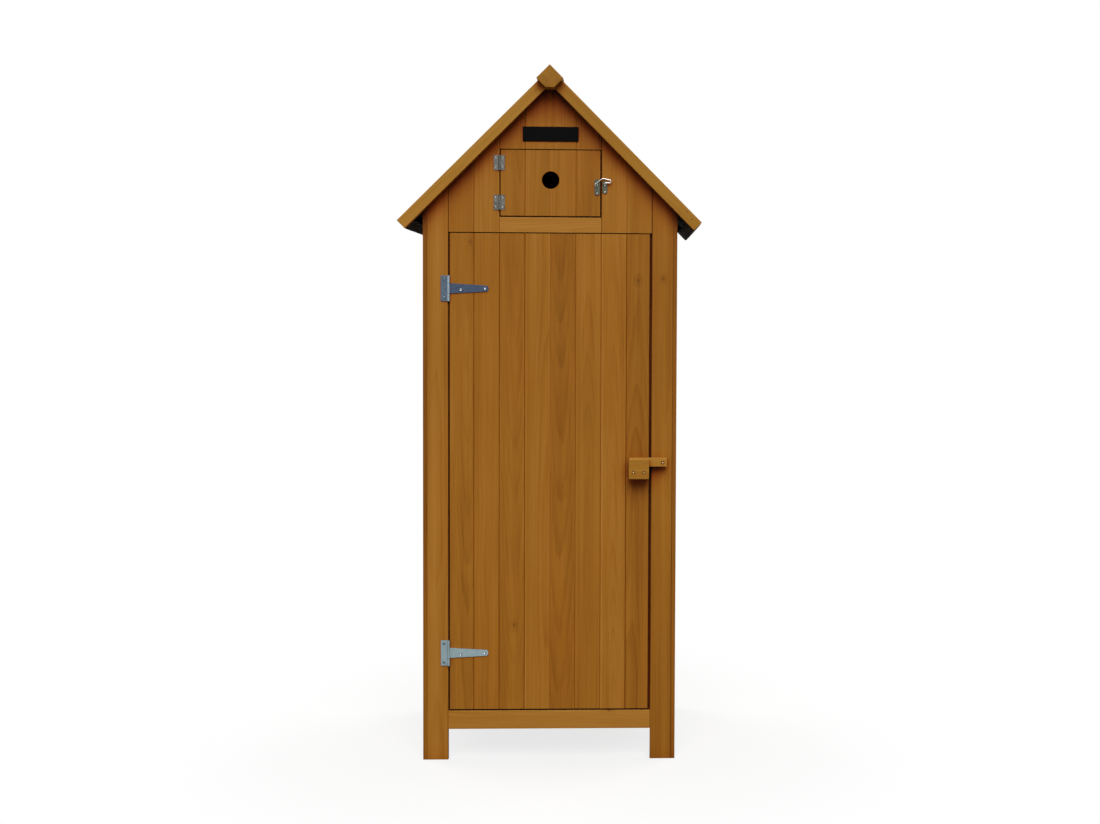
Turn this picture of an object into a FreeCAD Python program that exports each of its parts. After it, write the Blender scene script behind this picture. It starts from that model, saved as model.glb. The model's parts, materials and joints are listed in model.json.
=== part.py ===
import FreeCAD, Part
import math
import os
import re
import Sketcher
from FreeCAD import Placement, Rotation, Vector

# Garden storage cabinet: a plank cabinet on four legs under a 45 degree gable roof.
# Frame: +X right, +Y to the back, +Z up. The origin is on the floor, in the middle of the footprint.

doc = FreeCAD.newDocument("StorageCabinet")
sheet = doc.addObject("Spreadsheet::Sheet", "Sizes")

DRIVING_SIZES = [
    # The whole cabinet
    ("body_width", 652, "across the side walls"),
    ("body_depth", 440, "from the front boards to the back boards"),
    ("eave_overhang", 61.5, "from a side wall to the tip of a rake"),
    ("gable_overhang", 9, "from the front boards to the back of a rake"),
    ("wall_rise", 55, "top of the sill to the slope of the ridge's top edge, at a side wall"),
    # Boards and battens
    ("board_thick", 10, "wall, floor and loft boards"),
    ("joint_gap", 0.3, "between neighbouring boards"),
    ("groove", 1.5, "bevel on each edge of a wall plank"),
    ("front_planks", 8, "planks between the front legs"),
    ("hatch_planks", 4, "planks across the hatch"),
    ("side_planks", 5, "planks between the side leg boards"),
    ("floor_planks", 5, "boards across the floor and the loft"),
    ("shelf_planks", 4, "boards across a shelf"),
    ("deck_planks", 5, "boards up one side of the roof"),
    ("leg_width", 55, "front and back leg boards"),
    ("side_leg_width", 57.5, "leg boards on the side walls"),
    ("post_size", 28, "side of a square post, rafter or batten"),
    ("leg_clearance", 80, "from the floor to the bottom rail"),
    ("rail_height", 48, "bottom rail"),
    ("header_height", 42, "battens above the door and across the back"),
    ("shelf_low", 520, "top of the lower shelf"),
    ("shelf_high", 930, "top of the upper shelf"),
    # Roof
    ("ridge_size", 48, "side of the square ridge beam"),
    ("ridge_flat", 21.8, "flat along its lower corner"),
    ("ridge_reveal", 4.1, "ridge beam above the roof surface"),
    ("rake_width", 28, "rake, across its face"),
    ("rake_thick", 20, "rake"),
    ("ridge_proud", 21, "end of the ridge beam in front of the rakes"),
    ("felt_thick", 2.5, "roofing felt"),
    ("deck_thick", 10, "roof boards"),
    ("eave_batten_thick", 13, "batten under the eave, square to the slope"),
    ("eave_batten_width", 28, "batten under the eave, along the slope"),
    # Door
    ("door_height", 1233, "door leaf"),
    ("door_gap", 2.5, "above and below the door"),
    ("door_hinge_gap", 3, "between the leg and the door, hinge side"),
    ("door_latch_gap", 5, "between the door and the leg, latch side"),
    ("sill_height", 39, "board between the door and the hatch"),
    ("ledge_width", 45, "door ledge"),
    ("ledge_thick", 18, "door ledge, brace and stop"),
    ("ledge_inset", 20, "from the edge of the door opening to the end of a ledge"),
    ("brace_width", 55, "diagonal brace, measured level"),
    ("stop_lap", 10, "door stop behind the edge of the opening"),
    # Door hinges
    ("hinge_low_inset", 149, "lower hinge above the bottom of the door"),
    ("hinge_high_inset", 142, "upper hinge below the top of the door"),
    ("hinge_offset", 1, "from the edge of the door opening to the hinge axis, in the gap"),
    ("hinge_barrel", 7, "outside of a knuckle"),
    ("hinge_pin", 3.6, "diameter"),
    ("hinge_metal", 1.8, "plate and strap"),
    ("plate_width", 20, "from the hinge axis to the edge of the leg plate"),
    ("plate_height", 66, "leg plate"),
    ("plate_screw_spread", 48, "between the two screws of a leg plate"),
    ("strap_length", 102, "from the hinge axis to the tip"),
    ("strap_root", 26, "height at the knuckle"),
    ("strap_tip", 15, "height at the tip"),
    ("strap_round", 7, "corner radius at the tip"),
    ("strap_screw_near", 31, "from the hinge axis to the first screw"),
    ("strap_screw_far", 93, "from the hinge axis to the second screw"),
    ("strap_screw_drop", 3.5, "first screw below the middle of the strap"),
    ("pin_play", 0.1, "round a pin or a pivot screw"),
    ("knuckle_gap", 0.4, "between knuckles and beside a barrel"),
    # Latch
    ("latch_height", 777, "pivot of the latch bar"),
    ("latch_pivot_inset", 2.8, "pivot to the inner face of the corner post"),
    ("bar_reach", 85.3, "from the pivot to the free end"),
    ("bar_tail", 10.5, "from the pivot to the other end"),
    ("bar_height", 21, "latch bar"),
    ("bar_thick", 20, "latch bar"),
    ("bar_play", 0.5, "on each side of the bar in its pocket"),
    ("bar_rest_gap", 0.3, "under the bar where it rests"),
    ("washer_thick", 0.5, "behind the bar"),
    ("washer_width", 15, "diameter"),
    ("latch_shank", 5, "pivot screw"),
    ("latch_head", 8.4, "pivot screw head"),
    ("latch_screw_bite", 30, "length of the pivot screw in the wood"),
    ("keeper_width", 52.5, "keeper blocks"),
    ("keeper_inset", 0.8, "from the edge of the door to the keeper"),
    ("keeper_drop", 31, "keeper below the seat of the bar"),
    ("keeper_plate_thick", 18, "block in front of the bar"),
    ("keeper_screw_spread", 26.5, "between the two screws"),
    ("keeper_screw_rise", 18.5, "screws above the bottom of the keeper"),
    # Hatch
    ("hatch_height", 169, "hatch leaf"),
    ("hatch_gap", 2.5, "above and below the hatch"),
    ("hatch_side_gap", 2, "beside the hatch"),
    ("hatch_hole", 45, "diameter of the finger hole"),
    ("hatch_hole_rise", 92.6, "hole above the bottom of the hatch"),
    ("hatch_ledge_inset", 21, "from the edge of the hatch to a ledge"),
    ("hatch_ledge_width", 25, "hatch ledge"),
    ("hatch_ledge_thick", 16, "hatch ledge"),
    ("jamb_width", 26, "battens beside and above the hatch"),
    ("jamb_lap", 6, "battens behind the edges of the hatch"),
    ("butt_low_rise", 35, "middle of the lower butt hinge above the bottom of the hatch"),
    ("butt_high_rise", 136, "middle of the upper butt hinge above the bottom of the hatch"),
    ("butt_offset", 0.5, "hinge axis outside the edge of the hatch opening"),
    ("butt_barrel", 5, "outside of a knuckle"),
    ("butt_pin", 2.4, "diameter"),
    ("butt_metal", 1.2, "leaf"),
    ("butt_height", 38, "leaf"),
    ("butt_reach", 14.2, "from the hinge axis to the edge of a leaf"),
    ("butt_screw_reach", 9, "from the hinge axis to a screw"),
    ("butt_screw_spread", 24, "between the two screws of a leaf"),
    # Hook
    ("hook_wire", 2.8, "diameter"),
    ("hook_pivot_inset", 11.5, "from the edge of the hatch to the pivot"),
    ("hook_height", 81, "pivot above the bottom of the hatch"),
    ("hook_pin", 3, "diameter"),
    ("hook_pin_head", 5.4, "diameter"),
    ("hook_bend", 7, "radius of the bend at the top of the arm"),
    ("hook_bend_rise", 9.1, "middle of that bend above the pivot"),
    ("hook_bend_inset", 4, "middle of that bend to the middle of the bow"),
    ("hook_loop", 3.6, "radius of the finger loop"),
    ("hook_loop_rise", 8.9, "middle of the finger loop above the pivot"),
    ("hook_loop_reach", 11.8, "from the middle of the bow to the middle of the finger loop"),
    ("hook_tuck", 2.8, "radius of the bend down into the bow"),
    ("hook_drop", 6.5, "straight end that drops into the bow"),
    ("hook_eye_turn", 270, "degrees that the eye goes round its pin"),
    ("hook_plane", 5.2, "wire in front of the boards"),
    ("fixing_metal", 1.5, "hook plate and catch plate"),
    ("hook_plate_width", 14, "plate on the hatch"),
    ("hook_plate_height", 41, "plate on the hatch"),
    ("hook_plate_inset", 9.3, "from the edge of the hatch to the middle of the plate"),
    ("catch_offset", 10.5, "from the edge of the hatch to the middle of the catch plate"),
    ("catch_width", 13, "plate beside the hatch"),
    ("catch_height", 33, "plate beside the hatch"),
    ("fixing_round", 6, "corner radius of both plates"),
    ("plate_sink", 6, "middle of both plates below the pivot"),
    ("bow_wire", 2.2, "diameter"),
    ("bow_width", 9.5, "between the legs of the bow"),
    ("bow_depth", 8.2, "bow in front of the boards, to the middle of the wire"),
    # Small screws
    ("screw_head", 7.5, "diameter"),
    ("screw_head_rise", 1.6, "height of the head"),
    ("screw_shank", 3.4, "diameter"),
    ("screw_bite", 8, "length in the wood"),
    ("small_head", 4.6, "diameter of a small screw head"),
    ("small_shank", 2.2, "diameter of a small shank"),
    ("hole_play", 0.2, "between a shank and the hole in the metal"),
    # Bare plate in the gable
    ("sign_width", 142.5, "plate"),
    ("sign_height", 37.5, "plate"),
    ("sign_thick", 2, "plate"),
    ("sign_rise", 19.5, "plate above the hatch opening"),
]

for row, (alias, number, note) in enumerate(DRIVING_SIZES, start=1):
    sheet.set(f"A{row}", note)
    sheet.set(f"B{row}", str(number))
    sheet.setAlias(f"B{row}", alias)
doc.recompute()

ALIASES = {alias for alias, _, _ in DRIVING_SIZES}

# Places that follow from the driving sizes. A slope falls at 45 degrees, so a line along a slope has one
# "fall" value, z + |x|, and a line square to it has one "rise" value, z - |x|.
PLACES = {
    "half_width": "body_width / 2",
    "wall_inner": "half_width - board_thick",
    "post_inner": "wall_inner - post_size",
    "opening_half": "wall_inner - leg_width",
    "plank_pitch": "2 * opening_half / front_planks",
    "hatch_opening_half": "plank_pitch * hatch_planks / 2",
    "front": "-body_depth / 2",
    "back": "body_depth / 2",
    "front_frame": "front + board_thick",
    "back_frame": "back - board_thick",
    "frame_inner": "back_frame - post_size",
    "rail_top": "leg_clearance + rail_height",
    "door_low": "rail_top + door_gap",
    "door_high": "door_low + door_height",
    "sill_low": "door_high + door_gap",
    "sill_high": "sill_low + sill_height",
    "loft_under": "sill_high - board_thick",
    "hatch_low": "sill_high + hatch_gap",
    "hatch_high": "hatch_low + hatch_height",
    "hatch_top_edge": "hatch_high + hatch_gap",
    "hatch_half": "hatch_opening_half - hatch_side_gap",
    "door_left": "-opening_half + door_hinge_gap",
    "door_right": "opening_half - door_latch_gap",
    "diagonal": "sqrt(2)",
    "hinge_low": "door_low + hinge_low_inset",
    "hinge_high": "door_high - hinge_high_inset",
    "overall_height": "sill_high + wall_rise + half_width",
    "roof_width": "body_width + 2 * eave_overhang",
    "ridge_half": "ridge_size / diagonal",
    "ridge_axis": "overall_height - ridge_half",
    "ridge_rise": "ridge_axis - ridge_half",
    "ridge_bottom": "ridge_rise + ridge_flat / 2",
    "roof_fall": "overall_height - ridge_reveal * diagonal",
    "felt_fall": "roof_fall - felt_thick * diagonal",
    "deck_fall": "felt_fall - deck_thick * diagonal",
    "rafter_fall": "deck_fall - post_size * diagonal",
    "rake_fall": "roof_fall - rake_width * diagonal",
    "eave_fall": "deck_fall - eave_batten_thick * diagonal",
    "eave_rise": "roof_fall - roof_width",
    "deck_rise": "eave_rise + felt_thick * diagonal",
    "batten_rise": "deck_rise + eave_batten_width * diagonal",
    "rake_back": "front - gable_overhang",
    "rake_front": "rake_back - rake_thick",
    "ridge_front": "rake_front - ridge_proud",
    "hinge_x": "-opening_half + hinge_offset",
    "hinge_y": "front - hinge_barrel / 2",
    "butt_low": "hatch_low + butt_low_rise",
    "butt_high": "hatch_low + butt_high_rise",
    "butt_x": "-hatch_opening_half - butt_offset",
    "butt_y": "front - butt_barrel / 2",
    "latch_x": "post_inner + latch_pivot_inset",
    "bar_front": "bar_back - bar_thick",
    "bar_back": "front - washer_thick",
    "bar_low": "latch_height - bar_height / 2",
    "bar_high": "latch_height + bar_height / 2",
    "keeper_right": "door_right - keeper_inset",
    "keeper_left": "keeper_right - keeper_width",
    "keeper_low": "bar_low - keeper_drop",
    "pocket_front": "bar_front - bar_play",
    "hook_x": "hatch_half - hook_pivot_inset",
    "hook_z": "hatch_low + hook_height",
    "hook_y": "front - hook_plane",
    "catch_x": "hatch_half + catch_offset",
    "fixing_z": "hook_z - plate_sink",
    "fixing_face": "front - fixing_metal",
}


def formula(text):
    """Spells a formula out in the sheet's own cells."""
    def spell(match):
        word = match.group(0)
        if word in PLACES:
            return f"({formula(PLACES[word])})"
        return f"Sizes.{word}" if word in ALIASES else word

    return re.sub(r"[a-z_]+[a-z_0-9]*", spell, str(text))


def size(text):
    """The value of a formula, in millimetres."""
    return float(sheet.evalExpression(formula(text)))


def count(text):
    return int(round(size(text)))


def bind(thing, name, text):
    thing.setExpression(name, formula(text))


def move(thing, x=None, y=None, z=None):
    """Ties the place of an object's origin to the sheet."""
    for axis, text in (("x", x), ("y", y), ("z", z)):
        if text is not None:
            bind(thing, f"Placement.Base.{axis}", text)


NODES = []


def node(piece, label):
    """Keeps a finished sub-part under its own name."""
    piece.Label = label
    NODES.append(piece)
    return piece


def group(label, pieces):
    """Several separate pieces of one kind, kept together as one sub-part."""
    holder = doc.addObject("Part::Compound", label)
    holder.Links = pieces
    return node(holder, label)


def block(name, x, y, z):
    """A square board between a low and a high place along each axis."""
    board = doc.addObject("Part::Box", name)
    for length, axis, (low, high) in zip(("Length", "Width", "Height"), "xyz", (x, y, z)):
        bind(board, f"Placement.Base.{axis}", low)
        bind(board, length, f"({high}) - ({low})")
    return board


def rod(name, diameter, length, x, y, z, turn=(Vector(0, 0, 1), 0)):
    """A round bar that starts at x, y, z and runs up, or along the turned axis."""
    bar = doc.addObject("Part::Cylinder", name)
    bar.Placement = Placement(Vector(), Rotation(*turn))
    bind(bar, "Radius", f"({diameter}) / 2")
    bind(bar, "Height", length)
    move(bar, x, y, z)
    return bar


TOWARDS_FRONT = (Vector(1, 0, 0), 90)


def fuse(name, pieces):
    joined = doc.addObject("Part::MultiFuse", name)
    joined.Shapes = pieces
    joined.Refine = True
    return joined


def cut(name, base, tools):
    """The base without the tools, taken away one after another."""
    for number, tool in enumerate(tools, start=1):
        less = doc.addObject("Part::Cut", f"{name}_{number}")
        less.Base, less.Tool = base, tool
        base = less
    return base


def prism(name, outline, y, side=1):
    """A piece with one outline, seen from the front, between two places along Y.

    The outline is a list of (x, z) formulas for the right half; side -1 gives its mirror image.
    """
    body = doc.addObject("PartDesign::Body", name)
    sketch = body.newObject("Sketcher::SketchObject", f"{name}_outline")
    plane = next(part for part in body.Origin.OriginFeatures if part.Role == "XZ_Plane")
    sketch.AttachmentSupport = [(plane, "")]
    sketch.MapMode = "FlatFace"
    corners = [(f"{side} * ({x})", z) for x, z in outline]
    points = [Vector(size(x), size(z), 0) for x, z in corners]
    total = len(points)
    for number, start in enumerate(points):
        sketch.addGeometry(Part.LineSegment(start, points[(number + 1) % total]), False)
    for number in range(total):
        sketch.addConstraint(Sketcher.Constraint("Coincident", number, 2, (number + 1) % total, 1))
    for number, ((x, z), point) in enumerate(zip(corners, points)):
        for kind, text, value in (("DistanceX", x, point.x), ("DistanceY", z, point.y)):
            index = sketch.addConstraint(Sketcher.Constraint(kind, -1, 1, number, 1, value))
            label = f"{'x' if kind == 'DistanceX' else 'z'}_{number}"
            sketch.renameConstraint(index, label)
            bind(sketch, f"Constraints.{label}", text)
    pad = body.newObject("PartDesign::Pad", f"{name}_pad")
    pad.Profile = sketch
    bind(pad, "Length", f"({y[1]}) - ({y[0]})")
    move(body, y=y[1])
    return body


def vertical_edges(shape, offset, axis, place):
    """Names of a shape's upright edges on the face at one place along an axis."""
    names = []
    for number, edge in enumerate(shape.Edges, start=1):
        low, high = (vertex.Point + offset for vertex in edge.Vertexes[:2])
        upright = abs(low.x - high.x) < 0.01 and abs(low.y - high.y) < 0.01
        if upright and abs(getattr(low, axis) - place) < 0.01:
            names.append(f"Edge{number}")
    return names


def bevel(body, axis, place):
    """The small bevels along both outer edges of a wall plank, which make the V joints."""
    doc.recompute()
    pad = body.Tip
    edges = vertical_edges(pad.Shape, body.Placement.Base, axis, size(place))
    chamfer = body.newObject("PartDesign::Chamfer", f"{body.Name}_bevel")
    chamfer.Base = (pad, edges)
    bind(chamfer, "Size", "groove")
    return body


def slope_edge(x, fall="deck_fall"):
    """The point of a slope above x."""
    return (x, f"({fall}) - ({x})")


def on_slope(fall, rise):
    """The point where a line along the slope meets a line square to it."""
    return (f"(({fall}) - ({rise})) / 2", f"(({fall}) + ({rise})) / 2")


def strip(name, fall, rise, y, side):
    """A straight piece that lies along one slope of the roof."""
    corners = [(fall[0], rise[0]), (fall[1], rise[0]), (fall[1], rise[1]), (fall[0], rise[1])]
    return prism(name, [on_slope(*corner) for corner in corners], y, side)


def split(low, high, number, total):
    """The low and high place of one of several equal boards, less half a joint at inner edges."""
    wide = f"(({high}) - ({low})) / {total}"
    start = f"({low}) + {number} * {wide}" + (" + joint_gap / 2" if number else "")
    end = f"({low}) + {number + 1} * {wide}" + (" - joint_gap / 2" if number < total - 1 else "")
    return start, end


SIDES = ((-1, "left"), (1, "right"))
ENDS = (
    ("front", ("front", "front_frame"), ("front_frame", "-frame_inner")),
    ("back", ("back_frame", "back"), ("frame_inner", "back_frame")),
)


# Legs: posts in the corners, with a wide board on the front or back and a narrow one on the side
posts = []
side_legs = []
for end, board_y, frame_y in ENDS:
    leg_boards = []
    for side, hand in SIDES:
        outline = [("post_inner", 0), ("wall_inner", 0), slope_edge("wall_inner"), slope_edge("post_inner")]
        posts.append(prism(f"post_{end}_{hand}", outline, frame_y, side))
        outline = [("opening_half", 0), ("wall_inner", 0)]
        outline += [slope_edge("wall_inner"), slope_edge("opening_half")]
        leg_boards.append(prism(f"leg_board_{end}_{hand}", outline, board_y, side))
        outline = [("wall_inner", 0), ("half_width", 0), slope_edge("half_width"), slope_edge("wall_inner")]
        y = ("front", "front + side_leg_width") if end == "front" else ("back - side_leg_width", "back")
        side_legs.append(prism(f"side_leg_{end}_{hand}", outline, y, side))
    group(f"leg_boards_{end}", leg_boards)
group("corner_posts", posts)
group("side_leg_boards", side_legs)

# Side walls
for side, hand in SIDES:
    planks = []
    for number in range(count("side_planks")):
        y = split("front + side_leg_width", "back - side_leg_width", number, count("side_planks"))
        outline = [("wall_inner", "leg_clearance"), ("half_width", "leg_clearance")]
        outline += [slope_edge("half_width"), slope_edge("wall_inner")]
        plank = prism(f"side_plank_{hand}_{number + 1}", outline, y, side)
        planks.append(bevel(plank, "x", f"{side} * half_width"))
    group(f"side_planks_{hand}", planks)


def gable_plank(name, low, high, bottom, y, side):
    """A wall plank of one half of the gable, cut to the slope and level under the ridge beam."""
    outline = [(low, bottom), (high, bottom), slope_edge(high)]
    level = size("deck_fall - ridge_bottom")
    if size(low) < level < size(high):
        outline += [("deck_fall - ridge_bottom", "ridge_bottom"), (low, "ridge_bottom")]
    elif size(high) <= level:
        outline[2:] = [(high, "ridge_bottom"), (low, "ridge_bottom")]
    else:
        outline.append(slope_edge(low))
    plank = prism(name, outline, y, side)
    return bevel(plank, "y", "back" if y[1] == "back" else "front")


# Gable front: planks beside the hatch come down to the door, planks above it to the hatch
half_planks = count("front_planks") // 2
half_hatch = count("hatch_planks") // 2
above = []
for side, hand in SIDES:
    beside = []
    for number in range(half_planks):
        over_hatch = number < half_hatch
        low, high = split("0", "opening_half", number, half_planks)
        low = low if number else "joint_gap / 2"
        bottom = "hatch_top_edge" if over_hatch else "sill_low"
        plank = gable_plank(f"gable_{hand}_{number + 1}", low, high, bottom, ENDS[0][1], side)
        (above if over_hatch else beside).append(plank)
    group(f"gable_planks_{hand}", beside)
group("gable_planks_top", above)

# Back wall
back_boards = []
for side, hand in SIDES:
    for number in range(half_planks):
        low, high = split("0", "opening_half", number, half_planks)
        low = low if number else "joint_gap / 2"
        name = f"back_{hand}_{number + 1}"
        back_boards.append(gable_plank(name, low, high, "leg_clearance", ENDS[1][1], side))
group("back_planks", back_boards)

# Boards that run level across the front
opening = ("-opening_half", "opening_half")
front_y = ("front", "front_frame")
node(block("bottom_rail", opening, front_y, ("leg_clearance", "rail_top")), "bottom_rail")
hatch_opening = ("-hatch_opening_half", "hatch_opening_half")
node(block("hatch_sill", hatch_opening, front_y, ("sill_low", "sill_high")), "hatch_sill")

# Floor, on bearers between the posts, with a rail along each side wall
between_posts = ("-post_inner", "post_inner")
front_batten = ("front_frame", "-frame_inner")
back_batten = ("frame_inner", "back_frame")
floor_under = "rail_top - board_thick"
group("floor_bearers", [
    block("bearer_front", between_posts, front_batten, ("leg_clearance", floor_under)),
    block("bearer_back", between_posts, back_batten, ("leg_clearance", floor_under)),
])


def side_rails(name, z):
    """Two battens along the side walls, between the posts."""
    rails = []
    for side, hand in SIDES:
        x = ("post_inner", "wall_inner") if side > 0 else ("-wall_inner", "-post_inner")
        rails.append(block(f"{name}_{hand}", x, ("-frame_inner", "frame_inner"), z))
    return rails


def level_boards(name, x, y, z, total):
    """Boards side by side that run from front to back."""
    boards = []
    for number in range(total):
        boards.append(block(f"{name}_{number + 1}", split(*x, number, total), y, z))
    return boards


group("floor_rails", side_rails("floor_rail", ("leg_clearance", "rail_top")))
full_depth = ("front_frame", "back_frame")
floor_z = (floor_under, "rail_top")
group("floor_boards", level_boards("floor", between_posts, full_depth, floor_z, count("floor_planks")))

# Shelves, on cleats along the side walls
cleats = []
for level in ("low", "high"):
    top = f"shelf_{level}"
    under = f"{top} - board_thick"
    cleats += side_rails(f"{top}_cleat", (f"{under} - post_size", under))
    x = ("-wall_inner + joint_gap", "wall_inner - joint_gap")
    y = ("-frame_inner", "frame_inner")
    boards = level_boards(f"{top}_board", x, y, (under, top), count("shelf_planks"))
    group(f"{top}_boards", boards)
group("shelf_cleats", cleats)

# Header battens above the door and across the back, and the loft floor that rests on them
header_z = ("loft_under - header_height", "loft_under")
group("headers", [
    block("header_front", between_posts, front_batten, header_z),
    block("header_back", between_posts, back_batten, header_z),
])
group("loft_rails", side_rails("loft_rail", ("sill_high - post_size", "sill_high")))
loft_z = ("loft_under", "sill_high")
group("loft_boards", level_boards("loft", between_posts, full_depth, loft_z, count("floor_planks")))

# Stops behind the long edges of the door
stops = []
for side, hand in SIDES:
    edges = ["opening_half - stop_lap", "post_inner"]
    x = tuple(edges) if side > 0 else tuple(f"-({edge})" for edge in reversed(edges))
    y = ("front_frame", "front_frame + ledge_thick")
    stops.append(block(f"stop_{hand}", x, y, ("rail_top", header_z[0])))
group("door_stops", stops)

# Jambs and head batten behind the edges of the hatch
jamb_edge = "hatch_opening_half - jamb_lap"
jambs = []
for side, hand in SIDES:
    far = f"{jamb_edge} + jamb_width"
    outline = [(jamb_edge, "sill_high"), (far, "sill_high")]
    outline += [slope_edge(far, "rafter_fall"), slope_edge(jamb_edge, "rafter_fall")]
    jambs.append(prism(f"jamb_{hand}", outline, front_batten, side))
group("hatch_jambs", jambs)
head_z = ("hatch_high - jamb_lap", f"rafter_fall - ({jamb_edge})")
node(block("hatch_head", (f"-({jamb_edge})", jamb_edge), front_batten, head_z), "hatch_head")

# Rafters against both gables, and the wall plates between them
rafters = []
for end, board_y, frame_y in ENDS:
    for side, hand in SIDES:
        outline = [slope_edge("post_inner", "rafter_fall"), slope_edge("post_inner")]
        outline += [on_slope("deck_fall", "ridge_rise"), on_slope("rafter_fall", "ridge_rise")]
        rafters.append(prism(f"rafter_{end}_{hand}", outline, frame_y, side))
group("gable_rafters", rafters)
plates = []
for side, hand in SIDES:
    foot = "deck_fall - wall_inner - post_size"
    outline = [("post_inner", foot), ("wall_inner", foot), slope_edge("wall_inner"), slope_edge("post_inner")]
    plates.append(prism(f"wall_plate_{hand}", outline, ("-frame_inner", "frame_inner"), side))
group("wall_plates", plates)

# Ridge beam: square, set on edge, with its lower corner planed flat
ridge = [
    (0, "overall_height"),
    ("ridge_half", "ridge_axis"),
    ("ridge_flat / 2", "ridge_bottom"),
    ("-ridge_flat / 2", "ridge_bottom"),
    ("-ridge_half", "ridge_axis"),
]
node(prism("ridge_beam", ridge, ("ridge_front", "-(ridge_front)")), "ridge_beam")

# Roof boards, felt, eave battens and rakes. The felt turns down over the eave and back under its batten
deck_y = ("rake_back", "-(rake_back)")
battens = []
rakes = {"front": [], "back": []}
for side, hand in SIDES:
    deck = []
    for number in range(count("deck_planks")):
        rise = split("deck_rise", "ridge_rise", number, count("deck_planks"))
        deck.append(strip(f"deck_{hand}_{number + 1}", ("deck_fall", "felt_fall"), rise, deck_y, side))
    group(f"roof_boards_{hand}", deck)
    felt_under = "eave_fall - felt_thick * diagonal"
    felt = [
        on_slope("roof_fall", "ridge_rise"),
        on_slope("roof_fall", "eave_rise"),
        on_slope(felt_under, "eave_rise"),
        on_slope(felt_under, "batten_rise"),
        on_slope("eave_fall", "batten_rise"),
        on_slope("eave_fall", "deck_rise"),
        on_slope("felt_fall", "deck_rise"),
        on_slope("felt_fall", "ridge_rise"),
    ]
    node(prism(f"roof_felt_{hand}", felt, deck_y, side), f"roof_felt_{hand}")
    batten_rise = ("deck_rise", "batten_rise")
    battens.append(strip(f"eave_batten_{hand}", ("eave_fall", "deck_fall"), batten_rise, deck_y, side))
    for end, y in (("front", ("rake_front", "rake_back")), ("back", ("-(rake_back)", "-(rake_front)"))):
        fall, rise = ("rake_fall", "roof_fall"), ("eave_rise", "ridge_rise")
        rakes[end].append(strip(f"rake_{end}_{hand}", fall, rise, y, side))
group("eave_battens", battens)
for end, pieces in rakes.items():
    group(f"rakes_{end}", pieces)

# Bare plate in the gable
sign_low = "hatch_top_edge + sign_rise"
sign_x = ("-sign_width / 2", "sign_width / 2")
sign_z = (sign_low, f"{sign_low} + sign_height")
node(block("sign_plate", sign_x, ("front - sign_thick", "front"), sign_z), "sign_plate")


def planed(name, x, y, z):
    """A rectangular wall plank, bevelled along the two upright edges of its front face."""
    board = block(f"{name}_board", x, y, z)
    doc.recompute()
    chamfer = doc.addObject("Part::Chamfer", name)
    chamfer.Base = board
    edges = vertical_edges(board.Shape, Vector(), "y", size(y[0]))
    chamfer.Edges = [(int(edge[4:]), size("groove"), size("groove")) for edge in edges]
    return chamfer


# Door leaf: planks on the same lines as the gable, held by ledges and diagonal braces
door_planks = []
plank_total = count("front_planks")
for number in range(plank_total):
    low, high = split("-opening_half", "opening_half", number, plank_total)
    low = low if number else "door_left"
    high = high if number < plank_total - 1 else "door_right"
    door_planks.append(planed(f"door_plank_{number + 1}", (low, high), front_y, ("door_low", "door_high")))
group("door_planks", door_planks)
ledge_y = ("front_frame", "front_frame + ledge_thick")
ledge_half = "opening_half - ledge_inset"
ledge_heights = ["hinge_low", "latch_height", "hinge_high"]
ledges = []
for number, middle in enumerate(ledge_heights, start=1):
    z = (f"{middle} - ledge_width / 2", f"{middle} + ledge_width / 2")
    ledges.append(block(f"ledge_{number}", (f"-({ledge_half})", ledge_half), ledge_y, z))
group("door_ledges", ledges)
braces = []
for number, (low, high) in enumerate(zip(ledge_heights, ledge_heights[1:]), start=1):
    foot, head = f"{low} + ledge_width / 2", f"{high} - ledge_width / 2"
    outline = [(f"-({ledge_half})", foot), (f"brace_width - ({ledge_half})", foot)]
    outline += [(ledge_half, head), (f"{ledge_half} - brace_width", head)]
    braces.append(prism(f"brace_{number}", outline, ledge_y))
group("door_braces", braces)


def screw(name, x, face, z, head="screw_head", shank="screw_shank", bite="screw_bite", through="0"):
    """A screw with its head on a face that looks to the front; it bites into the wood behind."""
    cap = doc.addObject("Part::Cone", f"{name}_head")
    cap.Placement = Placement(Vector(), Rotation(*TOWARDS_FRONT))
    bind(cap, "Radius1", f"({head}) / 2")
    bind(cap, "Radius2", f"({head}) * 0.3")
    bind(cap, "Height", "screw_head_rise")
    move(cap, x, face, z)
    length = f"({bite}) + ({through})"
    stem = rod(f"{name}_shank", shank, length, x, f"({face}) + {length}", z, TOWARDS_FRONT)
    return fuse(name, [cap, stem])


def knuckled_leaf(name, flat, axis_x, axis_y, face, metal, barrel, pin, spans, edge, holes):
    """A hinge leaf: a flat, its knuckles round the pin, and its screw holes."""
    pieces = [flat]
    for number, (low, high) in enumerate(spans, start=1):
        tab_x = (axis_x, edge) if size(edge) > size(axis_x) else (edge, axis_x)
        pieces.append(block(f"{name}_tab_{number}", tab_x, (f"{face} - {metal}", face), (low, high)))
        pieces.append(rod(f"{name}_knuckle_{number}", barrel, f"({high}) - ({low})", axis_x, axis_y, low))
    lowest, highest = spans[0][0], spans[-1][1]
    bore_width = f"{pin} + 2 * pin_play"
    tools = [rod(f"{name}_bore", bore_width, f"({highest}) - ({lowest})", axis_x, axis_y, lowest)]
    for number, (x, z, shank) in enumerate(holes, start=1):
        hole_width = f"{shank} + 2 * hole_play"
        tools.append(rod(f"{name}_hole_{number}", hole_width, metal, x, face, z, TOWARDS_FRONT))
    return cut(name, fuse(f"{name}_blank", pieces), tools)


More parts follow.
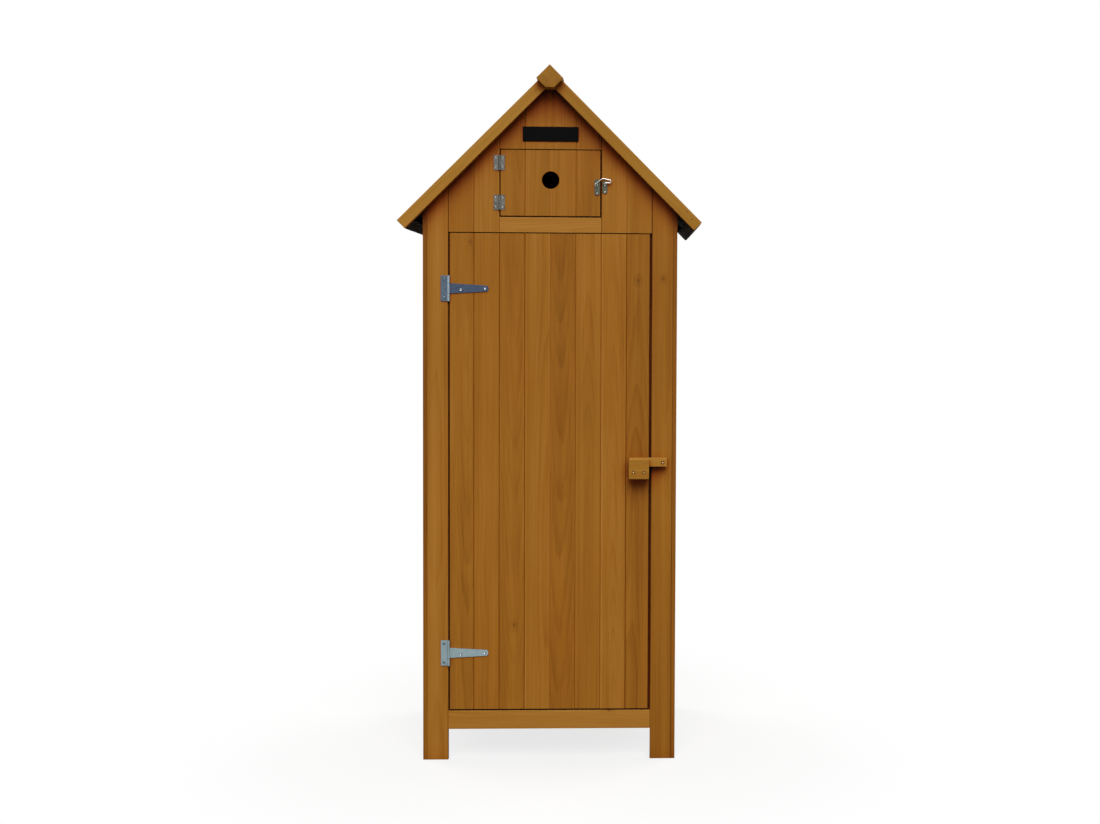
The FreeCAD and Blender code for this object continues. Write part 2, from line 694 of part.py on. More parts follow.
# Door hinges: a plate on the leg, a tapering strap on the door, and a pin
leg_plates, straps, door_pins = [], [], []
SCREWS = {"frame_screws": [], "door_screws": [], "hatch_screws": []}
for level in ("low", "high"):
    middle = f"hinge_{level}"
    plate_z = [f"{middle} - plate_height / 2", f"{middle} + plate_height / 2"]
    strap_z = [f"{middle} - strap_root / 2", f"{middle} + strap_root / 2"]
    metal_y = ("front - hinge_metal", "front")
    shared = ("hinge_x", "hinge_y", "front", "hinge_metal", "hinge_barrel", "hinge_pin")

    plate_edge = "hinge_x - hinge_barrel / 2 - knuckle_gap"
    plate_x = f"(hinge_x - plate_width + {plate_edge}) / 2"
    plate_holes = [(plate_x, f"{middle} {sign} plate_screw_spread / 2", "screw_shank") for sign in "-+"]
    flat = block(f"leg_flat_{level}", ("hinge_x - plate_width", plate_edge), metal_y, plate_z)
    spans = [(plate_z[0], f"{strap_z[0]} - knuckle_gap"), (f"{strap_z[1]} + knuckle_gap", plate_z[1])]
    leg_plates.append(knuckled_leaf(f"leg_plate_{level}", flat, *shared, spans, plate_edge, plate_holes))

    strap_edge = "hinge_x + hinge_barrel / 2 + knuckle_gap"
    strap_end = "hinge_x + strap_length"
    outline = [(strap_edge, strap_z[0]), (strap_end, f"{middle} - strap_tip / 2")]
    outline += [(strap_end, f"{middle} + strap_tip / 2"), (strap_edge, strap_z[1])]
    strap = prism(f"strap_flat_{level}", outline, metal_y)
    doc.recompute()
    pad = strap.Tip
    tip_edges = []
    for number, edge in enumerate(pad.Shape.Edges, start=1):
        first, last = (vertex.Point for vertex in edge.Vertexes)
        if abs(first.x - size(strap_end)) < 0.01 and first.isEqual(Vector(last.x, first.y, last.z), 0.01):
            tip_edges.append(f"Edge{number}")
    rounding = strap.newObject("PartDesign::Fillet", f"strap_round_{level}")
    rounding.Base = (pad, tip_edges)
    bind(rounding, "Radius", "strap_round")
    strap_holes = [
        ("hinge_x + strap_screw_near", f"{middle} - strap_screw_drop", "screw_shank"),
        ("hinge_x + strap_screw_far", middle, "screw_shank"),
    ]
    straps.append(
        knuckled_leaf(f"strap_{level}", strap, *shared, [tuple(strap_z)], strap_edge, strap_holes)
    )

    height = "plate_height"
    door_pins.append(rod(f"door_pin_{level}", "hinge_pin", height, "hinge_x", "hinge_y", plate_z[0]))
    for number, (x, z, _) in enumerate(plate_holes, start=1):
        name = f"plate_screw_{level}_{number}"
        SCREWS["frame_screws"].append(screw(name, x, metal_y[0], z, through="hinge_metal"))
    for number, (x, z, _) in enumerate(strap_holes, start=1):
        name = f"strap_screw_{level}_{number}"
        SCREWS["door_screws"].append(screw(name, x, metal_y[0], z, through="hinge_metal"))
group("hinge_plates", leg_plates)
group("hinge_straps", straps)
group("hinge_pins", door_pins)

# Latch: a bar on a screw in the leg, and a keeper on the door that it drops into
bar_x = ("latch_x - bar_reach", "latch_x + bar_tail")
bar = block("bar_blank", bar_x, ("bar_front", "bar_back"), ("bar_low", "bar_high"))
pivot_hole = "latch_shank + 2 * pin_play"
bar_hole = rod("bar_hole", pivot_hole, "bar_thick", "latch_x", "bar_back", "latch_height", TOWARDS_FRONT)
node(cut("bar", bar, [bar_hole]), "latch_bar")
disc = rod("washer_disc", "washer_width", "washer_thick", "latch_x", "front", "latch_height", TOWARDS_FRONT)
disc_hole = rod("washer_hole", pivot_hole, "washer_thick", "latch_x", "front", "latch_height", TOWARDS_FRONT)
node(cut("washer", disc, [disc_hole]), "latch_washer")
latch_screw = screw(
    "latch_screw",
    "latch_x",
    "bar_front - bar_play",
    "latch_height",
    head="latch_head",
    shank="latch_shank",
    bite="latch_screw_bite",
    through="bar_play + bar_thick + washer_thick",
)
node(latch_screw, "latch_screw")
keeper_x = ("keeper_left", "keeper_right")
seat = "bar_low - bar_rest_gap"
node(block("keeper_spacer", keeper_x, ("pocket_front", "front"), ("keeper_low", seat)), "keeper_spacer")
keeper_face = "pocket_front - keeper_plate_thick"
keeper_y = (keeper_face, "pocket_front")
node(block("keeper_plate", keeper_x, keeper_y, ("keeper_low", "bar_high")), "keeper_plate")
for number, sign in enumerate("-+", start=1):
    x = f"(keeper_left + keeper_right) / 2 {sign} keeper_screw_spread / 2"
    z = "keeper_low + keeper_screw_rise"
    reach = f"front - ({keeper_face})"
    SCREWS["door_screws"].append(screw(f"keeper_screw_{number}", x, keeper_face, z, through=reach))

# Hatch leaf, with a finger hole through its two middle planks
hatch_boards = []
hatch_total = count("hatch_planks")
hole_z = "hatch_low + hatch_hole_rise"
for number in range(hatch_total):
    low, high = split("-hatch_opening_half", "hatch_opening_half", number, hatch_total)
    low = low if number else "-(hatch_half)"
    high = high if number < hatch_total - 1 else "hatch_half"
    plank = planed(f"hatch_plank_{number + 1}", (low, high), front_y, ("hatch_low", "hatch_high"))
    if number in (half_hatch - 1, half_hatch):
        name = f"finger_hole_{number}"
        hole = rod(name, "hatch_hole", "board_thick", "0", "front_frame", hole_z, TOWARDS_FRONT)
        plank = cut(f"hatch_plank_open_{number + 1}", plank, [hole])
    hatch_boards.append(plank)
group("hatch_planks", hatch_boards)
hatch_ledges = []
for number, middle in enumerate(("butt_low", "butt_high"), start=1):
    x = ("hatch_ledge_inset - hatch_half", "hatch_half - hatch_ledge_inset")
    y = ("front_frame", "front_frame + hatch_ledge_thick")
    z = (f"{middle} - hatch_ledge_width / 2", f"{middle} + hatch_ledge_width / 2")
    hatch_ledges.append(block(f"hatch_ledge_{number}", x, y, z))
group("hatch_ledges", hatch_ledges)

# Hatch hinges: two leaves with three knuckles, and a pin
frame_leaves, hatch_leaves, hatch_pins = [], [], []
for level in ("low", "high"):
    middle = f"butt_{level}"
    z = [f"{middle} - butt_height / 2", f"{middle} + butt_height / 2"]
    third = [f"{middle} - butt_height / 6", f"{middle} + butt_height / 6"]
    metal_y = ("front - butt_metal", "front")
    shared = ("butt_x", "butt_y", "front", "butt_metal", "butt_barrel", "butt_pin")
    frame_spans = [(z[0], f"{third[0]} - knuckle_gap"), (f"{third[1]} + knuckle_gap", z[1])]
    leaves = (
        ("frame", "-", frame_spans, frame_leaves),
        ("hatch", "+", [tuple(third)], hatch_leaves),
    )
    for kind, sign, spans, leaf_list in leaves:
        inner = f"butt_x {sign} (butt_barrel / 2 + knuckle_gap)"
        outer = f"butt_x {sign} butt_reach"
        x = (outer, inner) if sign == "-" else (inner, outer)
        flat = block(f"{kind}_flat_{level}", x, metal_y, z)
        at = f"butt_x {sign} butt_screw_reach"
        holes = [(at, f"{middle} {way} butt_screw_spread / 2", "small_shank") for way in "-+"]
        leaf_list.append(knuckled_leaf(f"{kind}_leaf_{level}", flat, *shared, spans, inner, holes))
        for number, (hole_x, hole_place, _) in enumerate(holes, start=1):
            name = f"{kind}_leaf_screw_{level}_{number}"
            small = {"head": "small_head", "shank": "small_shank", "through": "butt_metal"}
            SCREWS[f"{kind}_screws"].append(screw(name, hole_x, metal_y[0], hole_place, **small))
    hatch_pins.append(rod(f"hatch_pin_{level}", "butt_pin", "butt_height", "butt_x", "butt_y", z[0]))
group("hatch_frame_leaves", frame_leaves)
group("hatch_leaves", hatch_leaves)
group("hatch_hinge_pins", hatch_pins)


def screw_hole(name, x, z):
    """The tool for a hole through the hook's plate or its catch, for a small screw."""
    return rod(name, "small_shank + 2 * hole_play", "fixing_metal", x, "front", z, TOWARDS_FRONT)


def round_cornered(name, middle, width, height):
    """The flat of the hook's plate or its catch: a plate with its four corners rounded."""
    x = (f"{middle} - {width} / 2", f"{middle} + {width} / 2")
    z = (f"fixing_z - {height} / 2", f"fixing_z + {height} / 2")
    blank = block(f"{name}_blank", x, ("fixing_face", "front"), z)
    doc.recompute()
    plate = doc.addObject("Part::Fillet", name)
    plate.Base = blank
    corners = []
    for number, edge in enumerate(blank.Shape.Edges, start=1):
        first, last = (vertex.Point for vertex in edge.Vertexes)
        if abs(first.x - last.x) < 0.01 and abs(first.z - last.z) < 0.01:
            corners.append((number, size("fixing_round"), size("fixing_round")))
    plate.Edges = corners
    return plate


# Hook plate on the hatch, with the pin that the hook turns on
plate_middle = "hatch_half - hook_plate_inset"
hook_flat = round_cornered("hook_flat", f"({plate_middle})", "hook_plate_width", "hook_plate_height")
pin_reach = "hook_plane + hook_wire / 2 + knuckle_gap - fixing_metal"
stud = rod("hook_stud", "hook_pin", pin_reach, "hook_x", "fixing_face", "hook_z", TOWARDS_FRONT)
pin_end = f"fixing_face - ({pin_reach})"
head = rod("hook_stud_head", "hook_pin_head", "fixing_metal", "hook_x", pin_end, "hook_z", TOWARDS_FRONT)
hook_screw_z = "fixing_z + small_head - hook_plate_height / 2"
hook_plate_hole = screw_hole("hook_plate_hole", plate_middle, hook_screw_z)
hook_plate = cut("hook_plate_set", fuse("hook_plate_blank", [hook_flat, stud, head]), [hook_plate_hole])
node(hook_plate, "hook_plate")

# Catch plate beside the hatch, with a level bow of wire
catch_flat = round_cornered("catch_flat", "catch_x", "catch_width", "catch_height")
bow_z = "hook_z + hook_wire / 2"
bow_pieces = [catch_flat]
for number, sign in enumerate("-+", start=1):
    leg_x = f"catch_x {sign} bow_width / 2"
    leg_length = "bow_depth - fixing_metal"
    leg = rod(f"bow_leg_{number}", "bow_wire", leg_length, leg_x, "fixing_face", bow_z, TOWARDS_FRONT)
    knee = doc.addObject("Part::Sphere", f"bow_knee_{number}")
    bind(knee, "Radius", "bow_wire / 2")
    move(knee, leg_x, "front - bow_depth", bow_z)
    bow_pieces += [leg, knee]
along_x = (Vector(0, 1, 0), 90)
bow_pieces.append(
    rod("bow_bar", "bow_wire", "bow_width", "catch_x - bow_width / 2", "front - bow_depth", bow_z, along_x)
)
catch_screw_z = "fixing_z + small_head - catch_height / 2"
catch_hole = screw_hole("catch_hole", "catch_x", catch_screw_z)
node(cut("catch_set", fuse("catch_blank", bow_pieces), [catch_hole]), "catch_plate")
for kind, x, z in (("hatch", plate_middle, hook_screw_z), ("frame", "catch_x", catch_screw_z)):
    small = {"head": "small_head", "shank": "small_shank", "through": "fixing_metal"}
    SCREWS[f"{kind}_screws"].append(screw(f"{kind}_fixing_screw", x, "fixing_face", z, **small))
for label, pieces in SCREWS.items():
    group(label, pieces)

# Hook: one wire. Its free end drops into the bow; from there it bends out to a finger loop, comes back over
# the bow, and falls along an arm to the eye round the pin. Its straight runs touch the rounds on either side.
def touch_angle(first, first_radius, second, second_radius):
    """The angle at which a straight run leaves one round for the next; both turn to the left."""
    between = second - first
    way = math.atan2(between.y, between.x) % math.tau
    return way - math.acos((first_radius - second_radius) / between.Length)


UPRIGHT = Vector(0, 0, 1)
tuck_radius, loop_radius, bend_radius = size("hook_tuck"), size("hook_loop"), size("hook_bend")
eye_radius = size("(hook_pin + hook_wire) / 2 + pin_play")
eye_centre = Vector(size("hook_x"), size("hook_z"), 0)
bend_centre = Vector(size("catch_x - hook_bend_inset"), size("hook_z + hook_bend_rise"), 0)
loop_centre = Vector(size("catch_x + hook_loop_reach"), size("hook_z + hook_loop_rise"), 0)
run_level = loop_centre.y - loop_radius
tuck_centre = Vector(size("catch_x + hook_tuck"), run_level - tuck_radius, 0)
loop_leave = touch_angle(loop_centre, loop_radius, bend_centre, bend_radius)
bend_leave = touch_angle(bend_centre, bend_radius, eye_centre, eye_radius)
eye_end = bend_leave + math.radians(size("hook_eye_turn"))


def on_round(centre, radius, angle):
    return centre + Vector(math.cos(angle), math.sin(angle), 0) * radius


def arc(centre, radius, start, end):
    return Part.Arc(Part.Circle(centre, UPRIGHT, radius), start, end)


hook = doc.addObject("PartDesign::Body", "hook_wire_body")
path = hook.newObject("Sketcher::SketchObject", "hook_path")
plane = next(part for part in hook.Origin.OriginFeatures if part.Role == "XZ_Plane")
path.AttachmentSupport = [(plane, "")]
path.MapMode = "FlatFace"
drop_top = on_round(tuck_centre, tuck_radius, math.pi)
path.addGeometry(
    [
        Part.LineSegment(drop_top - Vector(0, size("hook_drop"), 0), drop_top),
        arc(tuck_centre, tuck_radius, math.pi / 2, math.pi),
        Part.LineSegment(
            on_round(tuck_centre, tuck_radius, math.pi / 2), on_round(loop_centre, loop_radius, -math.pi / 2)
        ),
        arc(loop_centre, loop_radius, -math.pi / 2, loop_leave),
        Part.LineSegment(
            on_round(loop_centre, loop_radius, loop_leave), on_round(bend_centre, bend_radius, loop_leave)
        ),
        arc(bend_centre, bend_radius, loop_leave, bend_leave),
        Part.LineSegment(
            on_round(bend_centre, bend_radius, bend_leave), on_round(eye_centre, eye_radius, bend_leave)
        ),
        arc(eye_centre, eye_radius, bend_leave, eye_end),
    ],
    False,
)
DROP, TUCK, RUN, LOOP, TOP, BEND, ARM, EYE = range(8)
START, END, CENTRE = range(1, 4)
ORIGIN = (-1, START)
# The bend into the bow turns to the right, so it meets its neighbours the other way round
path.addConstraint(Sketcher.Constraint("Tangent", DROP, END, TUCK, END))
path.addConstraint(Sketcher.Constraint("Tangent", TUCK, START, RUN, START))
for first, second in ((RUN, LOOP), (LOOP, TOP), (TOP, BEND), (BEND, ARM), (ARM, EYE)):
    path.addConstraint(Sketcher.Constraint("Tangent", first, END, second, START))
path.addConstraint(Sketcher.Constraint("Vertical", DROP))
path.addConstraint(Sketcher.Constraint("Horizontal", RUN))
rounds = {
    "tuck": ("Radius", (TUCK,), "hook_tuck"),
    "loop": ("Radius", (LOOP,), "hook_loop"),
    "bend": ("Radius", (BEND,), "hook_bend"),
    "eye": ("Radius", (EYE,), "(hook_pin + hook_wire) / 2 + pin_play"),
    "loop_x": ("DistanceX", (*ORIGIN, LOOP, CENTRE), "catch_x + hook_loop_reach"),
    "loop_z": ("DistanceY", (*ORIGIN, LOOP, CENTRE), "hook_z + hook_loop_rise"),
    "bend_x": ("DistanceX", (*ORIGIN, BEND, CENTRE), "catch_x - hook_bend_inset"),
    "bend_z": ("DistanceY", (*ORIGIN, BEND, CENTRE), "hook_z + hook_bend_rise"),
    "eye_x": ("DistanceX", (*ORIGIN, EYE, CENTRE), "hook_x"),
    "eye_z": ("DistanceY", (*ORIGIN, EYE, CENTRE), "hook_z"),
    "drop_x": ("DistanceX", (*ORIGIN, DROP, START), "catch_x"),
    "drop": ("DistanceY", (DROP, START, DROP, END), "hook_drop"),
}
for label, (kind, points, text) in rounds.items():
    index = path.addConstraint(Sketcher.Constraint(kind, *points, size(text)))
    path.renameConstraint(index, label)
    bind(path, f"Constraints.{label}", text)
doc.recompute()
section = hook.newObject("Sketcher::SketchObject", "hook_section")
section.AttachmentSupport = [(path, "Edge1")]
section.MapMode = "NormalToEdge"
section.addGeometry(Part.Circle(Vector(), UPRIGHT, size("hook_wire / 2")), False)
section.addConstraint(Sketcher.Constraint("Coincident", 0, 3, -1, 1))
index = section.addConstraint(Sketcher.Constraint("Diameter", 0, size("hook_wire")))
section.renameConstraint(index, "wire")
bind(section, "Constraints.wire", "hook_wire")
doc.recompute()
pipe = hook.newObject("PartDesign::AdditivePipe", "hook_pipe")
pipe.Profile = section
pipe.Spine = (path, [f"Edge{number}" for number in range(1, 9)])
move(hook, y="hook_y")
node(hook, "hatch_hook")

doc.recompute()
broken = [thing.Name for thing in doc.Objects if {"Invalid", "Error"} & set(thing.State)]
if broken:
    raise SystemExit(f"failed objects: {broken}")
for part in NODES:
    if part.Shape.isNull() or not part.Shape.isValid() or not part.Shape.Solids:
        raise SystemExit(f"bad shape: {part.Label}")
os.makedirs("parts", exist_ok=True)
for part in NODES:
    part.Shape.exportStep(f"parts/{part.Label}.step")
print(f"{len(NODES)} sub-parts, {sum(len(part.Shape.Solids) for part in NODES)} solids")
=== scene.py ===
import json
import math
import random

import bmesh
import bpy
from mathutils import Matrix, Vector, noise

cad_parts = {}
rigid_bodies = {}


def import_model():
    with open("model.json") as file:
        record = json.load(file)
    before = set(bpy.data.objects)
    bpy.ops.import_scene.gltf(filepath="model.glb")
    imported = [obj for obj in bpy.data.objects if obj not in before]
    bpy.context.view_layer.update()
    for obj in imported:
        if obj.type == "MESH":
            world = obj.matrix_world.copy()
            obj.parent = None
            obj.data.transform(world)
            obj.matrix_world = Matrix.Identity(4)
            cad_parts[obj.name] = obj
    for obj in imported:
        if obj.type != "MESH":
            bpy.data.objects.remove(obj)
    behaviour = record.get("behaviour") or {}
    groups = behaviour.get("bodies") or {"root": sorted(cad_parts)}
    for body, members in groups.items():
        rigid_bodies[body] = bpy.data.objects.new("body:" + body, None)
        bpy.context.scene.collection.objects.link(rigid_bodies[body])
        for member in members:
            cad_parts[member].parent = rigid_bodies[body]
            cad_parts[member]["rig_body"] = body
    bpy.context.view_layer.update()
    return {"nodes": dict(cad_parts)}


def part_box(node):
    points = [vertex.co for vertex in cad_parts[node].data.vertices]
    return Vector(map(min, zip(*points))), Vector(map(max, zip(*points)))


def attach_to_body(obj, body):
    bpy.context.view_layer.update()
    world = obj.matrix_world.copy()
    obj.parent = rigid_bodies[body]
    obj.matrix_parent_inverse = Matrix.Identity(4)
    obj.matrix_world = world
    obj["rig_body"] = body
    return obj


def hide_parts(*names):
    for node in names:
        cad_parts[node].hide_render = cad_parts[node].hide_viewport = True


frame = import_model()

MM = 0.001
X, Y, Z = Vector((1, 0, 0)), Vector((0, 1, 0)), Vector((0, 0, 1))


# Shader maths

class Signal:
    """One output of a node. Sums on signals add the Math nodes that work them out."""

    def __init__(self, nodes, output):
        self.nodes = nodes
        self.output = output

    def math(self, operation, *values):
        return self.nodes.add("ShaderNodeMath", {"operation": operation}, dict(enumerate(values)))

    def vector_math(self, operation, *values):
        return self.nodes.add("ShaderNodeVectorMath", {"operation": operation}, dict(enumerate(values)))

    def __add__(self, other):
        return self.math("ADD", self, other)

    def __radd__(self, other):
        return self.math("ADD", other, self)

    def __sub__(self, other):
        return self.math("SUBTRACT", self, other)

    def __rsub__(self, other):
        return self.math("SUBTRACT", other, self)

    def __mul__(self, other):
        return self.math("MULTIPLY", self, other)

    def __rmul__(self, other):
        return self.math("MULTIPLY", other, self)

    def __truediv__(self, other):
        return self.math("DIVIDE", self, other)

    def __rtruediv__(self, other):
        return self.math("DIVIDE", other, self)

    def __lt__(self, other):
        return self.math("LESS_THAN", self, other)

    def __gt__(self, other):
        return self.math("GREATER_THAN", self, other)

    def fraction(self):
        return self.math("FRACT", self)

    def root(self):
        return self.math("SQRT", self)

    def wave(self):
        return self.math("SINE", self)

    def most(self, other):
        """The larger of two numbers."""
        return self.math("MAXIMUM", self, other)

    def rise(self, low, high):
        """0 below low and 1 above high, smoothly."""
        sockets = {"Value": self, "From Min": low, "From Max": high}
        return self.nodes.add("ShaderNodeMapRange", {"interpolation_type": "SMOOTHSTEP"}, sockets)

    def parts(self):
        """The three numbers of a vector."""
        return [self.nodes.add("ShaderNodeSeparateXYZ", {}, {0: self}, number) for number in range(3)]

    def times(self, x, y, z):
        """A vector stretched along its axes."""
        return self.vector_math("MULTIPLY", self, (x, y, z))

    def leaning(self, x, y, z):
        """A direction, turned some way towards another one."""
        return self.vector_math("NORMALIZE", self.vector_math("ADD", self, (x, y, z)))


class Nodes:
    """The shader nodes of a material or of the world."""

    def __init__(self, tree):
        self.tree = tree

    def put(self, socket, value):
        """Sets a socket, or links it where the value is a signal."""
        if isinstance(value, Signal):
            self.tree.links.new(value.output, socket)
        else:
            socket.default_value = value

    def add(self, kind, settings, sockets, output=0):
        """Adds a node: its settings first, and then the values or links of its sockets."""
        node = self.tree.nodes.new(kind)
        for name, value in settings.items():
            if name == "stops":
                set_stops(node.color_ramp, value)
            else:
                setattr(node, name, value)
        for name, value in sockets.items():
            self.put(node.inputs[name], value)
        return Signal(self, node.outputs[output])


def set_stops(ramp, stops):
    """Gives a colour ramp its stops, each a place from 0 to 1 and a colour."""
    while len(ramp.elements) < len(stops):
        ramp.elements.new(1.0)
    for element, (place, colour) in zip(ramp.elements, stops):
        element.position = place
        element.color = colour


class Finish(Nodes):
    """A material under one shader."""

    def __init__(self, name, **constants):
        self.material = bpy.data.materials.new(name)
        self.material.use_nodes = True
        super().__init__(self.material.node_tree)
        self.shader = self.tree.nodes["Principled BSDF"]
        self.feed(**constants)

    def feed(self, **inputs):
        """Sets or links the shader's own sockets; an underscore stands for a space in a name."""
        for name, value in inputs.items():
            self.put(self.shader.inputs[name.replace("_", " ")], value)

    def attribute(self, name, output="Vector"):
        return self.add("ShaderNodeAttribute", {"attribute_name": name}, {}, output)

    def geometry(self, output):
        return self.add("ShaderNodeNewGeometry", {}, {}, output)

    def place(self):
        """Where a point lies on its piece."""
        return self.add("ShaderNodeTexCoord", {}, {}, "Object")

    def speckle(self, place, scale=1.0, detail=2.0, rough=0.5):
        """Smooth noise from 0 to 1 about a middle of one half."""
        sockets = {"Vector": place, "Scale": scale, "Detail": detail, "Roughness": rough}
        return self.add("ShaderNodeTexNoise", {}, sockets)

    def cells(self, place, scale, output, uneven=1.0):
        """Uneven cells: the Position of a cell's core, a Color of its own or the Distance to the core."""
        sockets = {"Vector": place, "Scale": scale, "Randomness": uneven}
        return self.add("ShaderNodeTexVoronoi", {}, sockets, output)

    def hidden(self, reach, facing=None):
        """How much stands in the way near a point, from 0 in the open to 1 deep in a gap."""
        sockets = {"Distance": reach}
        if facing is not None:
            sockets["Normal"] = facing
        return 1 - self.add("ShaderNodeAmbientOcclusion", {"samples": 8}, sockets, "AO")

    def ramp(self, value, stops):
        return self.add("ShaderNodeValToRGB", {"stops": stops}, {0: value})

    def mix(self, share, first, second, blend="MIX"):
        """Two colours, blended by a share from 0 to 1."""
        settings = {"data_type": "RGBA", "blend_type": blend, "clamp_factor": True}
        return self.add("ShaderNodeMix", settings, {0: share, 6: first, 7: second}, 2)

    def tinted(self, colour, tint):
        return self.mix(1.0, colour, tint, "MULTIPLY")

    def bump(self, height, strength, distance):
        sockets = {"Height": height, "Strength": strength, "Distance": distance}
        return self.add("ShaderNodeBump", {}, sockets)


def seen(red, green, blue):
    """A colour as the eye reads it from a screen, 0 to 255, in the linear values of a shader."""
    shares = [level / 255 for level in (red, green, blue)]
    linear = [share / 12.92 if share <= 0.04045 else ((share + 0.055) / 1.055) ** 2.4 for share in shares]
    return (*linear, 1.0)


# Wood

KNOT_CELL_WIDE = 100 * MM
KNOT_CELL_LONG = 360 * MM
KNOT_LEAST_RADIUS = 1.8 * MM
KNOT_SPREAD = 3.6 * MM
KNOT_RAGGED = 3 * MM
KNOT_STRETCH = 0.62
KNOT_RINGS = 2600
YEAR_RING = 4.2 * MM
RING_WANDER = 20 * MM
RING_RIPPLE = 2.2 * MM
RING_BULGE = 6 * MM
STAIN_FULL = 0.4 * MM
STAIN_GONE = 2.4 * MM
EDGE_HIGHLIGHT_FULL = 2.5 * MM
EDGE_HIGHLIGHT_GONE = 7.5 * MM
CORNER_REACH = 90 * MM
SKY_LEAN = 0.7
GAP_SHADE_AND_STAIN = seen(16, 7, 2)
DEEP_STAIN_AND_SHADE = seen(52, 25, 5)
RUDDY_TINT = seen(255, 240, 218)
PAINTED_SHADE_TINT = seen(255, 176, 96)
KNOT_COLOURS = seen(92, 52, 16), seen(66, 34, 9)


def knots_in(finish, grain, share):
    """Where a board's knots are, the halo that the grain makes round them, and the distance to one.

    A long lattice has one point in each of its cells, and only some of those points hold a knot.
    """
    across, _, along = grain.parts()
    lattice = {0: across / KNOT_CELL_WIDE, 1: 0.0, 2: along / KNOT_CELL_LONG}
    place = finish.add("ShaderNodeCombineXYZ", {}, lattice)
    core_across, _, core_along = finish.cells(place, 1.0, "Position", uneven=0.7).parts()
    chance, size, _ = finish.cells(place, 1.0, "Color", uneven=0.7).parts()
    aside = across - core_across * KNOT_CELL_WIDE
    apart = (along - core_along * KNOT_CELL_LONG) * KNOT_STRETCH
    ragged = (finish.speckle(grain.times(160, 160, 90)) - 0.5) * KNOT_RAGGED
    distance = (aside * aside + apart * apart).root() + ragged
    present = chance < share
    radius = KNOT_LEAST_RADIUS + size * KNOT_SPREAD
    knot = present * (1 - (distance / radius).rise(0.75, 1.15))
    halo = present * (1 - (distance / radius).rise(0.9, 4.6))
    return knot, halo, distance


def wood(name, pale, middle, deep, knots=0.3, dull=0.55):
    """Stained softwood. Each board brings its own grain line, tone, edges, dark sawn ends and painted light
    on its tops as attributes.

    The grain attribute holds the place of a point about the heart of the tree that the board was sawn
    from: across in x, deep in y and along the trunk in z, in metres. The board attribute holds the
    board's tone, its warmth and the painted highlight along its left edge. The edges attribute holds how
    far a point lies from the left and right edges and above the foot, and the joints attribute how deep
    the stain lies at each of the three. Painted shade darkens the gaps, and darkens and reddens the
    corners under other boards.
    """
    finish = Finish(name, Specular_IOR_Level=0.1)
    grain = finish.attribute("grain")
    across, depth, _ = grain.parts()
    tone, warmth, glow = finish.attribute("board").parts()
    edges = finish.attribute("edges").parts()
    joints = finish.attribute("joints").parts()
    cut = finish.attribute("cut", "Fac")
    arris = finish.attribute("arris", "Fac")
    knot, halo, distance = knots_in(finish, grain, knots)

    # Year rings about the heart, which wander along the trunk and flow round a knot
    wander = (finish.speckle(grain.times(7, 7, 1.6), detail=1) - 0.5) * RING_WANDER
    ripple = (finish.speckle(grain.times(60, 60, 7), detail=2) - 0.5) * RING_RIPPLE
    from_heart = (across * across + depth * depth).root()
    years = (from_heart + wander + ripple + halo * RING_BULGE) / YEAR_RING
    season = years.fraction()
    late = season.rise(0.35, 0.92) * (1 - season.rise(0.95, 1.0))
    strong = finish.speckle(grain.times(26, 26, 0.5), detail=1).rise(0.36, 0.66)

    bands = finish.speckle(grain.times(46, 46, 0.6), detail=2)
    streaks = finish.speckle(grain.times(300, 300, 2.4), detail=3, rough=0.6)
    fibres = finish.speckle(grain.times(1500, 1500, 34), detail=2)
    clouds = finish.speckle(grain.times(9, 9, 2.6), detail=2)

    # Stain gathers in the joints; painted shade darkens the gaps and, redder, the corners under other boards
    uneven = 0.45 + finish.speckle(grain.times(0, 0, 3.5), detail=1) * 1.1
    left, right, foot = (
        stain * (1 - edge.rise(STAIN_FULL, STAIN_GONE)) for edge, stain in zip(edges, joints)
    )
    joint = left + right + foot
    # A painted highlight along a board's left edge
    painted_edge_light = glow * (1 - edges[0].rise(EDGE_HIGHLIGHT_FULL, EDGE_HIGHLIGHT_GONE))
    facing = finish.geometry("Normal")
    hidden = finish.hidden(CORNER_REACH, facing.leaning(0, 0, SKY_LEAN))
    level_top = facing.parts()[2].rise(0.3, 0.8)
    shaded = hidden.rise(0.15, 0.65) * (1 - arris) * (1 - level_top)

    shade = 0.5 + tone + (bands - 0.5) * 0.28 + (streaks - 0.5) * 0.22 + (clouds - 0.5) * 0.20
    shade = shade + (fibres - 0.5) * 0.12 - late * (0.02 + strong * 0.055) - halo * 0.08
    # Sawn ends darker; the tops of blocks lighter as painted light
    shade = shade - cut * 0.20 - joint * uneven + painted_edge_light + arris * (0.10 * fibres)
    # Painted shade: near black deep in the gaps, and a little darker in the corners under other boards
    shade = shade - hidden.rise(0.66, 0.92) * 0.84 - shaded * 0.14
    stops = [(0.0, GAP_SHADE_AND_STAIN), (0.07, DEEP_STAIN_AND_SHADE), (0.2, deep), (0.5, middle), (1.0, pale)]
    colour = finish.ramp(shade, stops)
    ruddy = finish.speckle(grain.times(15, 15, 2.2), detail=1).rise(0.35, 0.75) * 0.35 + warmth
    colour = finish.mix(ruddy, colour, finish.tinted(colour, RUDDY_TINT))
    # A redder tint in the painted shade of the corners under other boards
    colour = finish.mix(shaded, colour, finish.tinted(colour, PAINTED_SHADE_TINT))
    heart = finish.mix((distance * KNOT_RINGS).wave() * 0.3 + 0.4, *KNOT_COLOURS)
    colour = finish.mix(knot * 0.45, colour, heart)

    relief = fibres * 0.35 + late * strong * 0.4 + streaks * 0.35 - knot * 0.3
    finish.feed(
        Base_Color=colour,
        Roughness=dull + (fibres - 0.5) * 0.14 - late * 0.06,
        Normal=finish.bump(relief, 0.3, 0.4 * MM),
    )
    return finish.material


